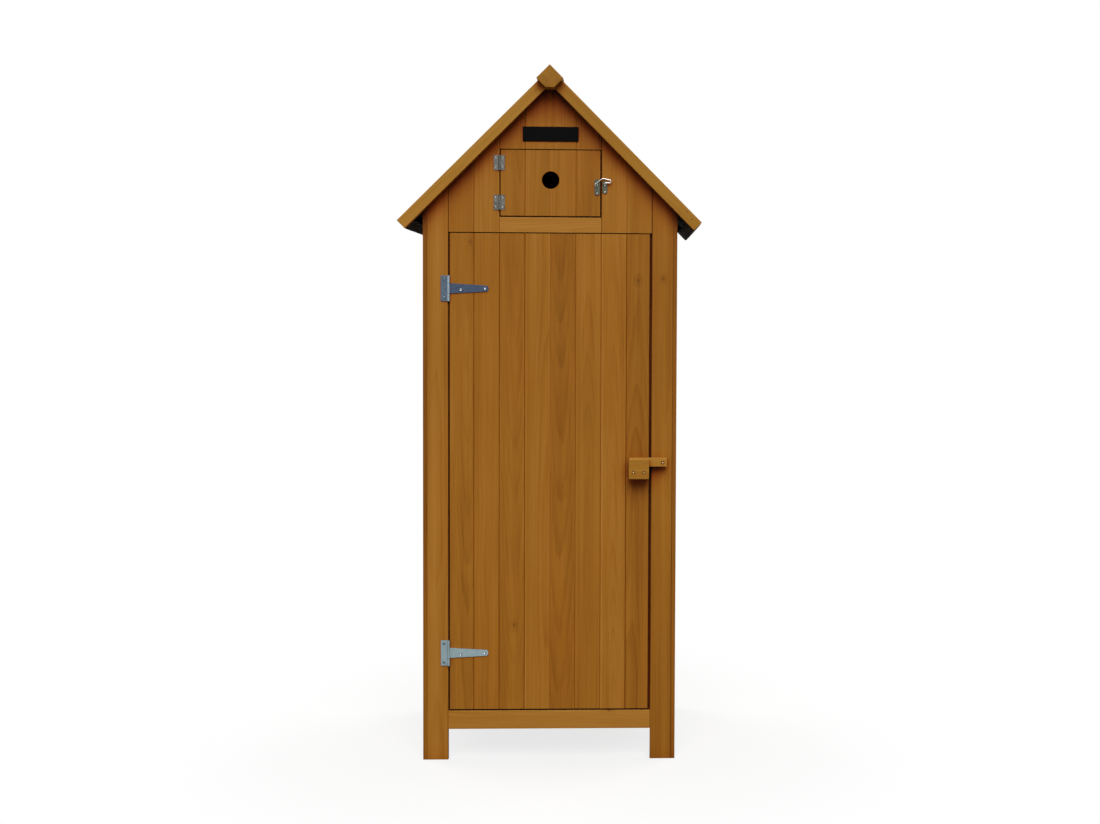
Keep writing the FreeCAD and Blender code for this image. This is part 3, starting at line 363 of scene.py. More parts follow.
STAINED = wood("stained_wood", seen(180, 133, 63), seen(146, 95, 27), seen(108, 60, 8), knots=0.12)
TRIM = wood("roof_trim_wood", seen(186, 138, 66), seen(152, 107, 36), seen(112, 68, 14), knots=0.06)
INNER = wood("inner_wood", seen(172, 120, 52), seen(138, 90, 28), seen(96, 54, 12), knots=0.4, dull=0.66)


# Metal, felt and plastic

TARNISH = seen(96, 92, 84)
CORNER_DARK = seen(34, 30, 26)
CORNER_DARK_REACH = 4 * MM
CRYSTALS_PER_METRE = 420.0
GRIT_PER_METRE = 900.0


def metal(name, colour, glint, dull, spangle=0.5):
    """Zinc: a mottle of crystals, fine rolling lines, a little dulling, and darker, less metallic tight
    corners.
    """
    finish = Finish(name, Specular_IOR_Level=0.5)
    place = finish.place()
    crystals = finish.cells(place, CRYSTALS_PER_METRE, "Color").parts()[0]
    haze = finish.speckle(place, 90, detail=3)
    rub = finish.speckle(place.times(2600, 900, 140), detail=2)
    # Darker and less metallic where another surface lies within a few millimetres
    tight_corner = finish.hidden(CORNER_DARK_REACH).rise(0.35, 0.85)
    colour = finish.mix(crystals * spangle * 0.6 + haze * 0.4, colour, glint)
    colour = finish.mix(haze.rise(0.56, 0.78) * 0.35, colour, TARNISH)
    colour = finish.mix(tight_corner * 0.8, colour, CORNER_DARK)
    finish.feed(
        Base_Color=colour,
        Metallic=0.86 - tight_corner * 0.6,
        Roughness=dull + (haze - 0.5) * 0.2 + (crystals - 0.5) * 0.08,
        Normal=finish.bump(rub * 0.5 + haze, 0.12, 0.2 * MM),
    )
    return finish.material


def felt_finish():
    """Bitumen felt with black mineral grit pressed into it."""
    finish = Finish("roofing_felt", Specular_IOR_Level=0.1)
    place = finish.place()
    grit_tone, grit_shine, _ = finish.cells(place, GRIT_PER_METRE, "Color").parts()
    grit_slope = finish.cells(place, GRIT_PER_METRE, "Distance")
    patches = finish.speckle(place, 14, detail=4, rough=0.6)
    worn = finish.speckle(place, 60, detail=3)
    stops = [(0.0, seen(10, 10, 11)), (0.8, seen(24, 24, 25)), (1.0, seen(58, 58, 60))]
    colour = finish.ramp(grit_tone, stops)
    colour = finish.mix(patches.rise(0.42, 0.7) * 0.5, colour, seen(18, 17, 17))
    colour = finish.mix(worn.rise(0.66, 0.8) * 0.6, colour, seen(7, 7, 7))
    finish.feed(
        Base_Color=colour,
        Roughness=0.86 - grit_shine * 0.25,
        Normal=finish.bump(1 - grit_slope * 1.6 + patches * 0.6, 0.55, 0.7 * MM),
    )
    return finish.material


def plate_finish():
    """A black plastic plate, moulded slightly rough, with faint scuffs."""
    finish = Finish("dark_plate", Specular_IOR_Level=0.04)
    place = finish.place()
    scuffs = finish.speckle(place.times(90, 90, 900), detail=3)
    mould = finish.speckle(place, 2200, detail=1)
    finish.feed(
        Base_Color=finish.mix(scuffs.rise(0.6, 0.8), seen(2, 2, 2), seen(10, 10, 11)),
        Roughness=0.5 + (scuffs - 0.5) * 0.3,
        Normal=finish.bump(mould, 0.15, 0.1 * MM),
    )
    return finish.material


FELT = felt_finish()
PLATE = plate_finish()
# Copies of one zinc: the upper fittings darker as painted shade, the lower ones lighter as painted light
UPPER_ZINC_SHADED = metal("zinc_upper", seen(74, 89, 103), seen(110, 125, 141), 0.34)
LOWER_ZINC_LIT = metal("zinc_lower", seen(152, 176, 184), seen(188, 208, 214), 0.36)
UPPER_STRAP_SHADED = metal("zinc_upper_strap", seen(55, 69, 91), seen(91, 105, 127), 0.34)
LOWER_STRAP_LIT = metal("zinc_lower_strap", seen(158, 184, 190), seen(194, 214, 220), 0.36)
# The rolled knuckles of the upper fittings: a brighter copy of the zinc, as a painted highlight
KNUCKLE_HIGHLIGHT_ZINC = metal("zinc_knuckle_highlight", seen(138, 154, 170), seen(180, 194, 206), 0.24)
PALE_ZINC = metal("zinc_pale", seen(150, 152, 150), seen(206, 208, 206), 0.3)
BUTT_ZINC = metal("zinc_butt", seen(52, 51, 47), seen(140, 139, 134), 0.34, spangle=0.8)
HOOK_ZINC = metal("zinc_hook_plates", seen(68, 72, 60), seen(104, 108, 94), 0.34)
BRIGHT_WIRE = metal("zinc_wire", seen(196, 192, 186), seen(240, 236, 230), 0.16, spangle=0.2)
NAIL = metal("steel_nail", seen(58, 50, 42), seen(96, 84, 70), 0.5, spangle=0.2)
SCREW_FINISHES = (
    metal("screw_zinc", seen(196, 202, 208), seen(236, 240, 244), 0.24, spangle=0.2),
    metal("screw_dull", seen(86, 98, 110), seen(126, 138, 150), 0.4, spangle=0.3),
    # The rims of screws in wooden blocks: stained over, and darkened as painted shade
    metal("screw_stained_and_shaded", seen(70, 40, 12), seen(100, 62, 24), 0.6, spangle=0.2),
    # A painted highlight in the middle of their heads
    metal("screw_highlight_heart", seen(228, 180, 112), seen(255, 224, 164), 0.4, spangle=0.2),
    metal("screw_butt", seen(166, 164, 158), seen(214, 212, 206), 0.28, spangle=0.3),
)
ZINC_HEAD, DULL_HEAD, STAINED_SHADED_RIM, HIGHLIGHT_HEART, BUTT_HEAD = range(5)


# Pieces and the nodes that they stand for


def settle(piece, node):
    """The piece stands for a CAD node: it rides with its body, and the node is hidden."""
    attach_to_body(piece, frame["nodes"][node]["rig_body"])
    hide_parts(node)
    return piece


def attach(piece, node):
    """An added detail that moves with a CAD node's body."""
    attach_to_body(piece, frame["nodes"][node]["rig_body"])
    return piece


def piece_from(mesh, name, material):
    """A new object of a bmesh, shaded smooth, with its large faces kept flat."""
    data = bpy.data.meshes.new(name)
    mesh.to_mesh(data)
    mesh.free()
    data.materials.append(material)
    data.shade_smooth()
    piece = bpy.data.objects.new(name, data)
    bpy.context.scene.collection.objects.link(piece)
    piece.modifiers.new("flat_faces", "WEIGHTED_NORMAL").keep_sharp = True
    return piece


def copy_of(node, merged_faces=True):
    """A bmesh of a CAD node, with whole flat faces in place of its triangles unless told otherwise."""
    mesh = bmesh.new()
    mesh.from_mesh(frame["nodes"][node].data)
    bmesh.ops.remove_doubles(mesh, verts=mesh.verts, dist=0.01 * MM)
    if merged_faces:
        bmesh.ops.dissolve_limit(mesh, angle_limit=math.radians(1), verts=mesh.verts, edges=mesh.edges)
        mesh.normal_update()
    return mesh


def eased(mesh, width, least_angle):
    """Bevels the edges where faces meet at more than so many degrees, and returns the new faces."""
    turned = math.radians(least_angle)
    corners = [edge for edge in mesh.edges if edge.is_manifold and edge.calc_face_angle() > turned]
    return bmesh.ops.bevel(
        mesh, geom=corners, offset=width, segments=2, profile=0.6, affect="EDGES", clamp_overlap=True
    )["faces"]


def centre_of(solid):
    """The mean of a solid's vertices, to the millimetre, so that solids sort the same way each run."""
    return tuple(round(sum(vertex.co[axis] for vertex in solid) / len(solid), 3) for axis in range(3))


def solids(mesh):
    """The separate solids of a bmesh as lists of vertices, from left to right and bottom to top."""
    known, found = set(), []
    for start in mesh.verts:
        if start in known:
            continue
        solid, waiting = [], [start]
        known.add(start)
        while waiting:
            vertex = waiting.pop()
            solid.append(vertex)
            for edge in vertex.link_edges:
                other = edge.other_vert(vertex)
                if other not in known:
                    known.add(other)
                    waiting.append(other)
        found.append(solid)
    return sorted(found, key=centre_of)


# Boards

UPRIGHT = ("back_planks", "gable_planks_left", "gable_planks_right", "gable_planks_top", "hatch_planks")
PLANKED = UPRIGHT + ("door_planks", "side_planks_left", "side_planks_right")
TONGUE = 0.16 * MM
BOARD_CORNER = 25


def board_axes(solid, upright):
    """Which way a board runs, which way it is thin, and which way it is wide."""
    edges = sorted({edge for vertex in solid for edge in vertex.link_edges}, key=lambda edge: edge.index)
    faces = sorted({face for vertex in solid for face in vertex.link_faces}, key=lambda face: face.index)
    longest = max(edges, key=lambda edge: round(edge.calc_length(), 5))
    along = Z if upright else (longest.verts[1].co - longest.verts[0].co).normalized()
    beside = [face for face in faces if abs(face.normal.dot(along)) < 0.5]
    thin = max(beside, key=lambda face: round(face.calc_area(), 7)).normal.copy()
    return along, thin, along.cross(thin).normalized()


class Board:
    """How one board lies, and how it lay in the tree that it was sawn from, in metres.

    rightward is 1 where the board's wide axis points to the right or to the back, and -1 elsewhere.
    """

    def __init__(self, solid, axes, tone, chance):
        self.along, self.thin, self.across = axes
        self.middle = Vector()
        for axis in axes:
            places = [vertex.co.dot(axis) for vertex in solid]
            self.middle += axis * (min(places) + max(places)) / 2
        self.foot = min(vertex.co.z for vertex in solid)
        self.reach = max(abs((vertex.co - self.middle).dot(self.across)) for vertex in solid)
        self.rightward = 1 if self.across.dot(X) + self.across.dot(Y) > 0 else -1
        self.tone = chance.uniform(-0.07, 0.07) if tone is None else tone
        self.heart_across = chance.uniform(-0.03, 0.03)
        self.heart_deep = chance.choice((-1, 1)) * chance.uniform(0.018, 0.075)
        self.lean_across = chance.uniform(-0.012, 0.012)
        self.lean_deep = chance.uniform(-0.028, 0.028)
        self.start = chance.uniform(0, 60)
        self.ruddy = chance.uniform(0.0, 0.25)

    def grain_at(self, point):
        """The place of a point about the heart of the tree: across, deep, and along the trunk."""
        at = point - self.middle
        length = at.dot(self.along)
        return (
            at.dot(self.across) - self.heart_across - self.lean_across * length,
            at.dot(self.thin) - self.heart_deep - self.lean_deep * length,
            length + self.start,
        )

    def edges_at(self, point):
        """How far a point lies from the left and right edges, and above the foot."""
        aside = (point - self.middle).dot(self.across) * self.rightward
        return self.reach + aside, self.reach - aside, point.z - self.foot

    def close_up(self, solid):
        """Widens the board a little at both edges, so that it meets its neighbours on their tongues."""
        for vertex in solid:
            aside = (vertex.co - self.middle).dot(self.across)
            if abs(aside) > self.reach - 0.1 * MM:
                vertex.co += self.across * math.copysign(TONGUE, aside)


def boards(
    node, material, tones=None, joints=None, edge_highlights=None, arris=0.7, run=None, top_highlight=0.0, ends=1.0, foot=0.0
):
    """Wooden boards with eased edges in the place of a node's solids, each with a grain of its own.

    tones make single boards paler or deeper, from left to right. joints say how deep the stain lies in
    the joints, one more of them than boards, and foot how deep it lies at the boards' lower ends. A joint
    below zero is painted light that evens out the shade in its groove. The edge highlights say how
    much painted highlight lies along a board's left edge. arris is the width of the eased edges in
    millimetres, run gives the axes of a block that isn't longest along its grain, the top highlight
    paints the top of a block paler as painted light from above, and ends say how dark the sawn ends are.
    """
    chance = random.Random(node)
    mesh = copy_of(node)
    for items in (mesh.verts, mesh.edges, mesh.faces):
        items.index_update()
    cut = mesh.faces.layers.float.new("cut")
    rounded = mesh.faces.layers.float.new("arris")
    grain = mesh.verts.layers.float_vector.new("grain")
    look = mesh.verts.layers.float_vector.new("board")
    edges = mesh.verts.layers.float_vector.new("edges")
    stained = mesh.verts.layers.float_vector.new("joints")
    order = mesh.verts.layers.int.new("number")

    made = []
    for number, solid in enumerate(solids(mesh)):
        axes = run or board_axes(solid, node in UPRIGHT)
        board = Board(solid, axes, tones[number] if tones else None, chance)
        made.append(board)
        if joints:
            stain = (joints[number], joints[number + 1], foot)
        elif node in PLANKED:
            stain = (chance.uniform(0.1, 0.3),) * 2 + (0.0,)
        else:
            stain = (0.0, 0.0, 0.0)
        for vertex in solid:
            vertex[order] = number
            vertex[look] = (board.tone, board.ruddy, edge_highlights[number] if edge_highlights else 0.0)
            vertex[stained] = stain
        for face in {face for vertex in solid for face in vertex.link_faces}:
            face[cut] = ends if abs(face.normal.dot(board.along)) > 0.6 else 0.0
            # A top face is painted lighter, as painted light from above
            if face.normal.z > 0.7:
                face[cut] -= top_highlight
        if node in PLANKED:
            board.close_up(solid)

    for face in eased(mesh, arris * MM, BOARD_CORNER):
        face[rounded] = 1.0
        # Eased edges that look up take the painted light of the top as well
        if face.normal.z > 0.35:
            face[cut] = -top_highlight
    for vertex in mesh.verts:
        board = made[vertex[order]]
        vertex[edges] = board.edges_at(vertex.co)
        vertex[grain] = board.grain_at(vertex.co)
    return settle(piece_from(mesh, f"{node}_wood", material), node)


# Small differences from plank to plank, in the order that they stand, from left to right
# Joints below zero are painted light that evens out the shade in their grooves
boards(
    "door_planks", STAINED,
    tones=(0.0, 0.01, -0.01, 0.06, -0.03, 0.01, 0.04, -0.06),
    joints=(0.3, 0.08, 0.09, 0.13, -0.16, 0.0, 0.04, 0.14, 0.4),
    edge_highlights=(0.0, 0.0, 0.0, 0.08, 0.0, 0.07, 0.12, 0.0),
    arris=0.35,
    foot=1.1,
)
boards(
    "hatch_planks", STAINED,
    tones=(0.0, 0.03, 0.02, -0.04),
    joints=(0.3, 0.02, -0.36, -0.06, 0.7),
    arris=0.28,
    foot=0.5,
)
boards("gable_planks_left", STAINED, (0.0, 0.09), (0.2, 0.0, 0.02), arris=0.3)
boards("gable_planks_right", STAINED, (0.07, -0.01), (0.2, -0.12, 0.3), arris=0.3)
boards(
    "gable_planks_top", STAINED,
    tones=(-0.02, 0.02, 0.02, -0.02),
    joints=(-0.1, 0.02, -0.36, -0.06, -0.1),
    arris=0.28,
)
boards("leg_boards_front", STAINED, (0.07, -0.02), (0.3, 0.3, 0.3), arris=0.5)
boards("bottom_rail", STAINED, (0.13,))
boards("hatch_sill", STAINED, (0.18,))
boards("side_leg_boards", STAINED, (-0.14, -0.14, -0.16, -0.16))
for node in ("leg_boards_back", "side_planks_left", "side_planks_right", "back_planks"):
    boards(node, STAINED)
boards("rakes_front", TRIM, (0.06, -0.02), arris=0.9, ends=0.3)
boards("ridge_beam", TRIM, (0.0,), arris=0.9, ends=0.3)
for node in ("rakes_back", "eave_battens"):
    boards(node, TRIM, arris=0.9)
boards("keeper_plate", TRIM, (-0.04,), arris=2.4, run=(X, Y, Z), top_highlight=1.0)
boards("keeper_spacer", TRIM, (-0.06,), arris=0.6, run=(X, Y, Z))
boards("latch_bar", TRIM, (0.05,), arris=1.3, run=(X, Y, Z), top_highlight=0.8)
INSIDE = (
    "corner_posts", "door_ledges", "door_braces", "door_stops", "floor_bearers", "floor_boards",
    "floor_rails", "gable_rafters", "hatch_head", "hatch_jambs", "hatch_ledges", "headers", "loft_boards",
    "loft_rails", "roof_boards_left", "roof_boards_right", "shelf_cleats", "shelf_high_boards",
    "shelf_low_boards", "wall_plates",
)
for node in INSIDE:
    boards(node, INNER)


# Metal fittings

LOWER_PART = 750 * MM
ROLL_DEPTH = 2.2 * MM
METAL_CORNER = 40


def fitting(node, material, lower_lit_material=None, roll=None, arris=0.25):
    """A metal part in the place of a node's solids, with its sharp corners broken.

    What lies in the lower part of the cabinet may take a lighter copy of the zinc, as painted light,
    while the rest keeps a darker copy as painted shade. The rolled knuckles of the rest, which stand out
    in front of the flats, may take a brighter one as a painted highlight.
    """
    mesh = copy_of(node)
    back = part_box(node)[1][1]
    for face in mesh.faces:
        middle = face.calc_center_median()
        # Lower faces take the lit copy and the knuckles the painted highlight; the rest keeps the shaded
        # copy
        if lower_lit_material and middle.z < LOWER_PART:
            face.material_index = 1
        elif roll and middle.y < back - ROLL_DEPTH:
            face.material_index = 2
    eased(mesh, arris * MM, METAL_CORNER)
    piece = piece_from(mesh, f"{node}_metal", material)
    for other in (lower_lit_material, roll):
        if other:
            piece.data.materials.append(other)
    return settle(piece, node)


fitting("hinge_plates", UPPER_ZINC_SHADED, LOWER_ZINC_LIT, KNUCKLE_HIGHLIGHT_ZINC, arris=0.5)
fitting("hinge_straps", UPPER_STRAP_SHADED, LOWER_STRAP_LIT, KNUCKLE_HIGHLIGHT_ZINC, arris=0.5)
fitting("hinge_pins", UPPER_ZINC_SHADED, LOWER_ZINC_LIT, KNUCKLE_HIGHLIGHT_ZINC)
for node in ("hatch_frame_leaves", "hatch_leaves", "hatch_hinge_pins"):
    fitting(node, BUTT_ZINC, arris=0.2)
for node in ("hook_plate", "catch_plate"):
    fitting(node, HOOK_ZINC, arris=0.2)
fitting("hatch_hook", BRIGHT_WIRE)
fitting("latch_washer", PALE_ZINC, arris=0.1)


# Screws

ROUND_SIDES = 28
HEAD_RISE = 1.6 * MM
SHANK_SHARE = 0.45
HEART_SHARE = 0.42
BRIGHT_SHARE = 0.6
BLOCK_DEPTH = 12 * MM
PLATE_MARGIN = 10 * MM


def ring(mesh, centre, radius, height, turn=0.0):
    """A circle of points that looks to the front, and stands out by its height."""
    points = []
    for side in range(ROUND_SIDES):
        angle = turn + math.tau * side / ROUND_SIDES
        place = (centre.x + radius * math.cos(angle), centre.y - height, centre.z + radius * math.sin(angle))
        points.append(mesh.verts.new(place))
    return points


def bridge(mesh, first, second):
    """A band of faces between two closed rows of points."""
    for k in range(len(first)):
        after = (k + 1) % len(first)
        mesh.faces.new((first[k], first[after], second[after], second[k]))


def skin(mesh, rows):
    """Faces over closed rows of points, from the first to the last, with both ends closed."""
    for first, second in zip(rows, rows[1:]):
        bridge(mesh, first, second)
    mesh.faces.new(rows[0])
    mesh.faces.new(rows[-1])


def recess_corners(radius, turn):
    """The outline of a cross recess, as places sideways and upwards from the middle of the head."""
    arm, half = radius * 0.46, radius * 0.12
    corners = []
    for quarter in range(4):
        angle = turn + math.tau * quarter / 4
        for along, aside in ((arm, -half), (arm, half), (half, half)):
            sideways = along * math.cos(angle) - aside * math.sin(angle)
            upwards = along * math.sin(angle) + aside * math.cos(angle)
            corners.append((sideways, upwards))
    return corners


def driven_screw(mesh, centre, radius, length, turn):
    """A screw with a low round head and a cross recess. The centre lies on the face under the head."""
    shank = radius * SHANK_SHARE
    profile = [
        (shank * 0.2, -length),
        (shank, 1.6 * shank - length),
        (shank, 0.0),
        (radius, 0.0),
        (radius * 0.98, HEAD_RISE * 0.35),
        (radius * 0.88, HEAD_RISE * 0.72),
        (radius * 0.68, HEAD_RISE),
    ]
    rings = [ring(mesh, centre, wide, high, turn) for wide, high in profile]
    mesh.faces.new(rings[0])
    for lower, upper in zip(rings, rings[1:]):
        bridge(mesh, lower, upper)
    corners = recess_corners(radius, turn)
    rim, floor = (
        [mesh.verts.new((centre.x + u * share, centre.y - high, centre.z + v * share)) for u, v in corners]
        for share, high in ((1.0, HEAD_RISE), (0.6, HEAD_RISE * 0.3))
    )
    bridge(mesh, rim, floor)
    mesh.faces.new(floor)
    edges = [mesh.edges.get((loop[k - 1], loop[k])) for loop in (rings[-1], rim) for k in range(len(loop))]
    bmesh.ops.triangle_fill(mesh, edges=edges, use_beauty=True, use_dissolve=False)


def screws(node):
    """Screws in the place of a node's solids, each turned as it happened to be driven.

    Those in wooden blocks are stained over and darkened at the rim as painted shade, with a painted
    highlight in the middle of the head. Those that hold the plates on the legs are dull, as are the rims
    of those in the straps, and the hatch has its own kind.
    """
    chance = random.Random(node)
    source = copy_of(node, merged_faces=False)
    block_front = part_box("leg_boards_front")[0][1] - BLOCK_DEPTH
    hatch_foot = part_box("hatch_sill")[1][2]
    plate_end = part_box("hinge_plates")[1][0] - PLATE_MARGIN
    mesh = bmesh.new()
    for solid in solids(source):
        low = Vector(min(vertex.co[axis] for vertex in solid) for axis in range(3))
        high = Vector(max(vertex.co[axis] for vertex in solid) for axis in range(3))
        radius = (high.x - low.x) / 2
        centre = Vector(((low.x + high.x) / 2, low.y + HEAD_RISE, (low.z + high.z) / 2))
        before = set(mesh.faces)
        driven_screw(mesh, centre, radius, high.y - centre.y, chance.uniform(0, math.tau))
        for face in set(mesh.faces) - before:
            aside = math.hypot(*(face.calc_center_median() - centre).xz)
            # Screws in wooden blocks: a stained rim with painted shade, and a painted highlight in the
            # middle
            if centre.y < block_front:
                face.material_index = STAINED_SHADED_RIM if aside > radius * HEART_SHARE else HIGHLIGHT_HEART
            elif centre.z > hatch_foot:
                face.material_index = BUTT_HEAD
            elif centre.x < plate_end or aside > radius * BRIGHT_SHARE:
                face.material_index = DULL_HEAD
    source.free()
    bmesh.ops.recalc_face_normals(mesh, faces=mesh.faces)
    piece = piece_from(mesh, f"{node}_driven", SCREW_FINISHES[ZINC_HEAD])
    for other in SCREW_FINISHES[DULL_HEAD:]:
        piece.data.materials.append(other)
    return settle(piece, node)


for node in ("frame_screws", "door_screws", "hatch_screws", "latch_screw"):
    screws(node)


# Roofing felt, laid in two strips on each slope

FELT_COLUMNS = 60
STRIP_THICK = 1.2 * MM
STRIP_STEP = 1.25 * STRIP_THICK
FELT_SAG = 0.7 * MM
SAG_WAVES = 9
LAP_SHARE = 0.62
LAP_UNDER = 80 * MM
EAVE_ROUND = 4 * MM
CLOUTS = 7
CLOUT_SPACING = 62 * MM
CLOUT_ABOVE_LAP = 20 * MM
CLOUT_ABOVE_EAVE = 30 * MM
STRAY_ALONG = 6 * MM
STRAY_DOWN = 2 * MM
CLOUT_RADIUS = 4.2 * MM
CLOUT_SIDES = 20


def slope_lines(node):
    """The lines of a roof felt solid: square to the slope as falls, and along it as rises.

    A fall is the height of a point plus its distance from the middle, and a rise is the height less it,
    so that two of either differ by the root of two times the distance between their lines.
    """
    points = [vertex.co for vertex in frame["nodes"][node].data.vertices]
    falls = sorted({round(point.z + abs(point.x), 4) for point in points})
    rises = sorted({round(point.z - abs(point.x), 4) for point in points})
    return falls, rises


def slope_point(fall, rise, side, y=0.0):
    """The place of a fall and a rise on the left slope, where side is -1, or on the right one."""
    return Vector(((fall - rise) / 2 * side, y, (fall + rise) / 2))


def strip_of_felt(node, name, outline):
    """A sheet of felt along an outline of (fall, rise) points on its outer face, from the ridge down.

    It sags a little between its upper and its lower edge.
    """
    low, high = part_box(node)
    side = -1 if low[0] < 0 else 1
    outer = [slope_point(fall, rise, side) for fall, rise in outline]
    mesh = bmesh.new()
    columns = []
    for number in range(FELT_COLUMNS + 1):
        y = low[1] + (high[1] - low[1]) * number / FELT_COLUMNS
        front, back = [], []
        for k, point in enumerate(outer):
            before, after = outer[max(k - 1, 0)], outer[min(k + 1, len(outer) - 1)]
            inward = (after - before).normalized().cross(Y) * side
            length = (point - outer[0]).length
            place = Vector((y * SAG_WAVES, length * SAG_WAVES, 3.1 * side))
            sag = FELT_SAG * (0.5 + 0.5 * noise.noise(place))
            slack = 0.0 if k in (0, len(outer) - 1) else sag
            top = point + inward * slack
            under = point + inward * (STRIP_THICK + slack)
            front.append(mesh.verts.new((top.x, y, top.z)))
            back.append(mesh.verts.new((under.x, y, under.z)))
        columns.append(front + back[::-1])
    skin(mesh, columns)
    bmesh.ops.recalc_face_normals(mesh, faces=mesh.faces)
    return settle(piece_from(mesh, name, FELT), node)


def along_slope(fall, start, end, count):
    """Points down a slope, from one rise to another."""
    return [(fall, start + (end - start) * k / count) for k in range(count + 1)]


def round_eave(under, top, eave, batten_end):
    """Points of the felt where it goes over the eave, down its face and back under the batten."""
    over = [(top - (3 + 4 * k) * MM, eave + 1.5 * MM / (k + 1)) for k in range(1, 4)]
    corner = [(under + 4 * MM, eave), (under + 1 * MM, eave + 1 * MM), (under, eave + 4 * MM)]
    back = [(under, batten_end - (batten_end - eave) * 0.4), (under, batten_end)]
    return over + corner + back


def clout_row(node, fall, rise, name):
    """Flat nail heads along the roof, on one line of the slope."""
    side = -1 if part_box(node)[0][0] < 0 else 1
    out = Vector((side, 0, 1)).normalized()
    down = Vector((side, 0, -1)).normalized()
    chance = random.Random(name)
    mesh = bmesh.new()
    for number in range(CLOUTS):
        y = (number - (CLOUTS - 1) / 2) * CLOUT_SPACING + chance.uniform(-STRAY_ALONG, STRAY_ALONG)
        middle = slope_point(fall, rise, side, y) + down * chance.uniform(-STRAY_DOWN, STRAY_DOWN)
        rows = []
        for wide, height in ((1.0, -0.6), (1.0, 0.25), (0.86, 0.55), (0.3, 0.7)):
            row = []
            for step in range(CLOUT_SIDES):
                angle = math.tau * step / CLOUT_SIDES
                point = middle + (Y * math.cos(angle) + down * math.sin(angle)) * wide * CLOUT_RADIUS
                row.append(mesh.verts.new(point + out * height * MM))
            rows.append(row)
        skin(mesh, rows)
    bmesh.ops.recalc_face_normals(mesh, faces=mesh.faces)
    return attach(piece_from(mesh, name, PALE_ZINC), node)


for hand in ("left", "right"):
    node = f"roof_felt_{hand}"
    falls, rises = slope_lines(node)
    under, top = falls[0], falls[-1]
    eave, _, batten_end, ridge = rises
    lap = ridge + (eave - ridge) * LAP_SHARE
    lower_face = top - STRIP_STEP * math.sqrt(2)
    lower = along_slope(lower_face, lap + LAP_UNDER, eave + EAVE_ROUND, 12)
    strip_of_felt(node, f"felt_lower_{hand}", lower + round_eave(under, top, eave, batten_end))
    strip_of_felt(node, f"felt_upper_{hand}", along_slope(top, ridge, lap, 14))
    clout_row(node, top, lap + CLOUT_ABOVE_LAP, f"lap_nails_{hand}")
    clout_row(node, lower_face, eave + CLOUT_ABOVE_EAVE, f"eave_nails_{hand}")


# Bare plate in the gable

def rounded_plate(node, material, radius, edge):
    """A flat plate with round corners and a broken front edge."""
    low, high = (Vector(corner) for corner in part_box(node))
    outline = []
    for quarter, (x, z) in enumerate(((high.x, high.z), (low.x, high.z), (low.x, low.z), (high.x, low.z))):
        middle_x = x - math.copysign(radius, x)
        middle_z = z - radius if quarter < 2 else z + radius
        for step in range(7):
            angle = math.radians(90 * quarter + 15 * step)
            outline.append((middle_x + radius * math.cos(angle), middle_z + radius * math.sin(angle)))
    centre, half = (low + high) / 2, (high - low) / 2
    mesh = bmesh.new()
    rows = []
    for y, inset in ((high.y, 0.0), (low.y + edge, 0.0), (low.y + edge * 0.3, edge * 0.4), (low.y, edge)):
        narrow, short = 1 - inset / half.x, 1 - inset / half.z
        rows.append([
            mesh.verts.new((centre.x + (x - centre.x) * narrow, y, centre.z + (z - centre.z) * short))
            for x, z in outline
        ])
    skin(mesh, rows)
    bmesh.ops.recalc_face_normals(mesh, faces=mesh.faces)
    return settle(piece_from(mesh, f"{node}_moulded", material), node)


rounded_plate("sign_plate", PLATE, radius=2.5 * MM, edge=0.6 * MM)


# Nails through the rakes, near the eaves

# How far each nail is from the middle, and how far below the top of the felt
RAKE_NAILS = ((361 * MM, 18.5 * MM), (349 * MM, 10.5 * MM))
NAIL_RADIUS = 1.5 * MM
NAIL_PROFILE = ((1.0, -1.0 * MM), (1.0, 0.05 * MM), (0.8, 0.2 * MM))


def rake_nails(node, name, sides, ahead):
    """Nail heads in a pair of rakes. ahead is 1 where they look to the front, and -1 to the back."""
    low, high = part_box(node)
    face = low[1] if ahead > 0 else high[1]
    top_fall = slope_lines("roof_felt_left")[0][-1]
    mesh = bmesh.new()
    for side in sides:
        for reach, drop in RAKE_NAILS:
            centre = Vector((side * reach, face, top_fall - reach - drop))
            skin(mesh, [ring(mesh, centre, NAIL_RADIUS * wide, ahead * out) for wide, out in NAIL_PROFILE])
    bmesh.ops.recalc_face_normals(mesh, faces=mesh.faces)
    return attach(piece_from(mesh, name, NAIL), node)


rake_nails("rakes_front", "rake_nails_front", sides=(1,), ahead=1)
rake_nails("rakes_back", "rake_nails_back", sides=(-1, 1), ahead=-1)


# Floor, light and camera

FLOOR_GLOW = 0.78
FLOOR_BOUNCE = seen(124, 123, 121)
FLOOR_SEEN = seen(196, 195, 193)
FLOOR_SIZE = 30
FLOOR_DROP = 0.4 * MM
SHADOW_KEPT = 0.4
SHADOW_GONE = 1.1


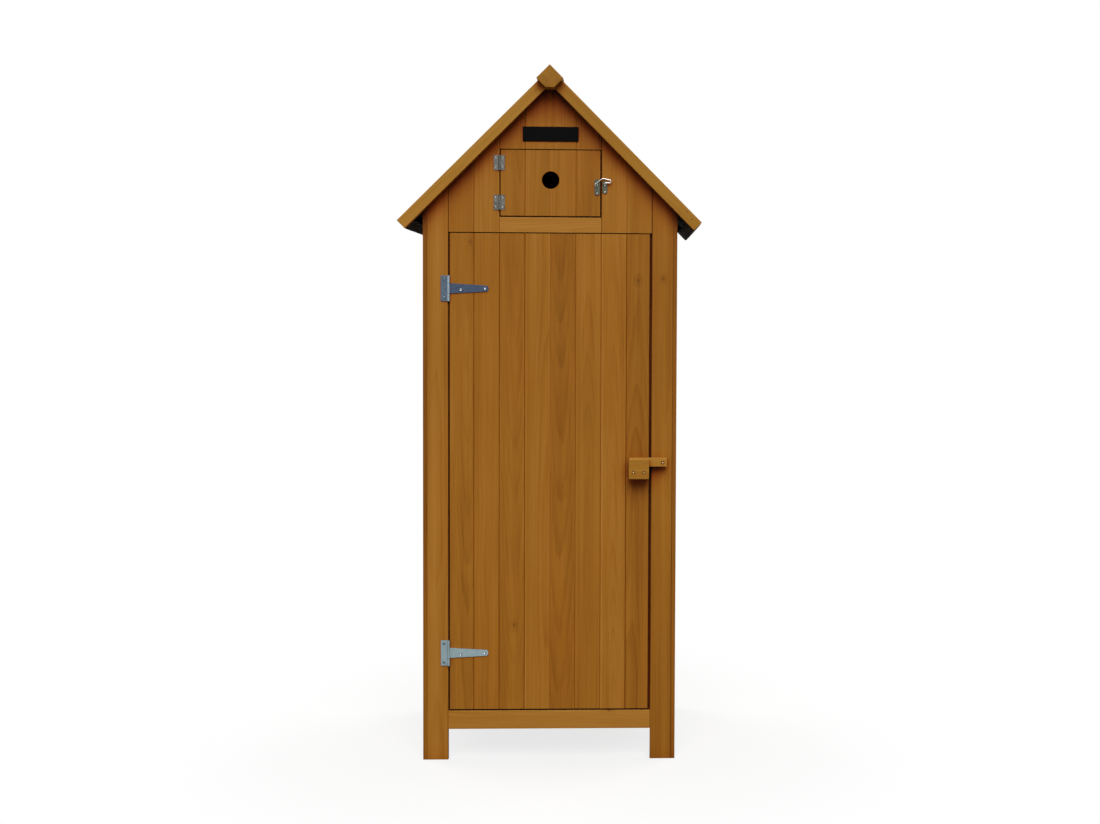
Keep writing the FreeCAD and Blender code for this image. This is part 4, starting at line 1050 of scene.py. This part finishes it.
def stage_floor():
    """A plain white floor that keeps the cabinet's shadow and runs out into the white behind it."""
    finish = Finish("studio_floor", Roughness=0.9, Specular_IOR_Level=0.1)
    x, y, _ = finish.geometry("Position").parts()
    far = (x * x + y * y).root().rise(SHADOW_KEPT, SHADOW_GONE)
    white = FLOOR_GLOW + far * (1 - FLOOR_GLOW)
    camera_ray = finish.add("ShaderNodeLightPath", {}, {}, "Is Camera Ray")
    finish.feed(Base_Color=finish.mix(camera_ray, FLOOR_BOUNCE, FLOOR_SEEN))
    glow = finish.add("ShaderNodeEmission", {}, {"Color": (1, 1, 1, 1), "Strength": 1.0})
    sockets = {0: white * camera_ray, 1: Signal(finish, finish.shader.outputs[0]), 2: glow}
    both = finish.add("ShaderNodeMixShader", {}, sockets)
    finish.put(finish.tree.nodes["Material Output"].inputs[0], both)
    mesh = bmesh.new()
    bmesh.ops.create_grid(mesh, x_segments=1, y_segments=1, size=FLOOR_SIZE)
    floor = piece_from(mesh, "studio_floor", finish.material)
    floor.location.z = -FLOOR_DROP


def sunlight(name, height, bearing, power, spread):
    """Even light from far off. height and bearing are in degrees; bearing 0 comes from the front."""
    data = bpy.data.lights.new(name, "SUN")
    data.energy = power
    data.angle = math.radians(spread)
    light = bpy.data.objects.new(name, data)
    light.rotation_euler = (math.radians(90 - height), 0, math.radians(bearing))
    bpy.context.scene.collection.objects.link(light)


def white_world(strength):
    """Even light from all round, which the camera and the metal see as plain white."""
    world = bpy.data.worlds.new("studio")
    bpy.context.scene.world = world
    world.use_nodes = True
    sky = Nodes(world.node_tree)
    rays = ("Is Camera Ray", "Is Glossy Ray", "Is Transmission Ray")
    camera, glossy, through = (sky.add("ShaderNodeLightPath", {}, {}, ray) for ray in rays)
    white = camera.most(glossy).most(through)
    background = sky.tree.nodes["Background"]
    background.inputs["Color"].default_value = (1, 1, 1, 1)
    sky.put(background.inputs["Strength"], strength + white * (1 - strength))


def photo_camera():
    """The photograph's place: at chest height, a little right of the middle, and nearly level."""
    data = bpy.data.cameras.new("photo_camera")
    data.sensor_fit = "HORIZONTAL"
    data.sensor_width = 36
    data.lens = 42.89
    data.shift_x = -0.109
    data.shift_y = -0.0514
    camera = bpy.data.objects.new("photo_camera", data)
    camera.location = (0.192, -3.6, 1.170)
    camera.rotation_euler = (math.radians(88.0), math.radians(-0.32), math.radians(-1.96))
    bpy.context.scene.collection.objects.link(camera)
    bpy.context.scene.camera = camera


stage_floor()
white_world(strength=0.15)
sunlight("key_light", height=47, bearing=4, power=3.5, spread=46)
sunlight("right_light", height=30, bearing=118, power=2.4, spread=40)
sunlight("left_light", height=30, bearing=-118, power=2.4, spread=40)
photo_camera()
bpy.context.scene.view_settings.view_transform = "Standard"
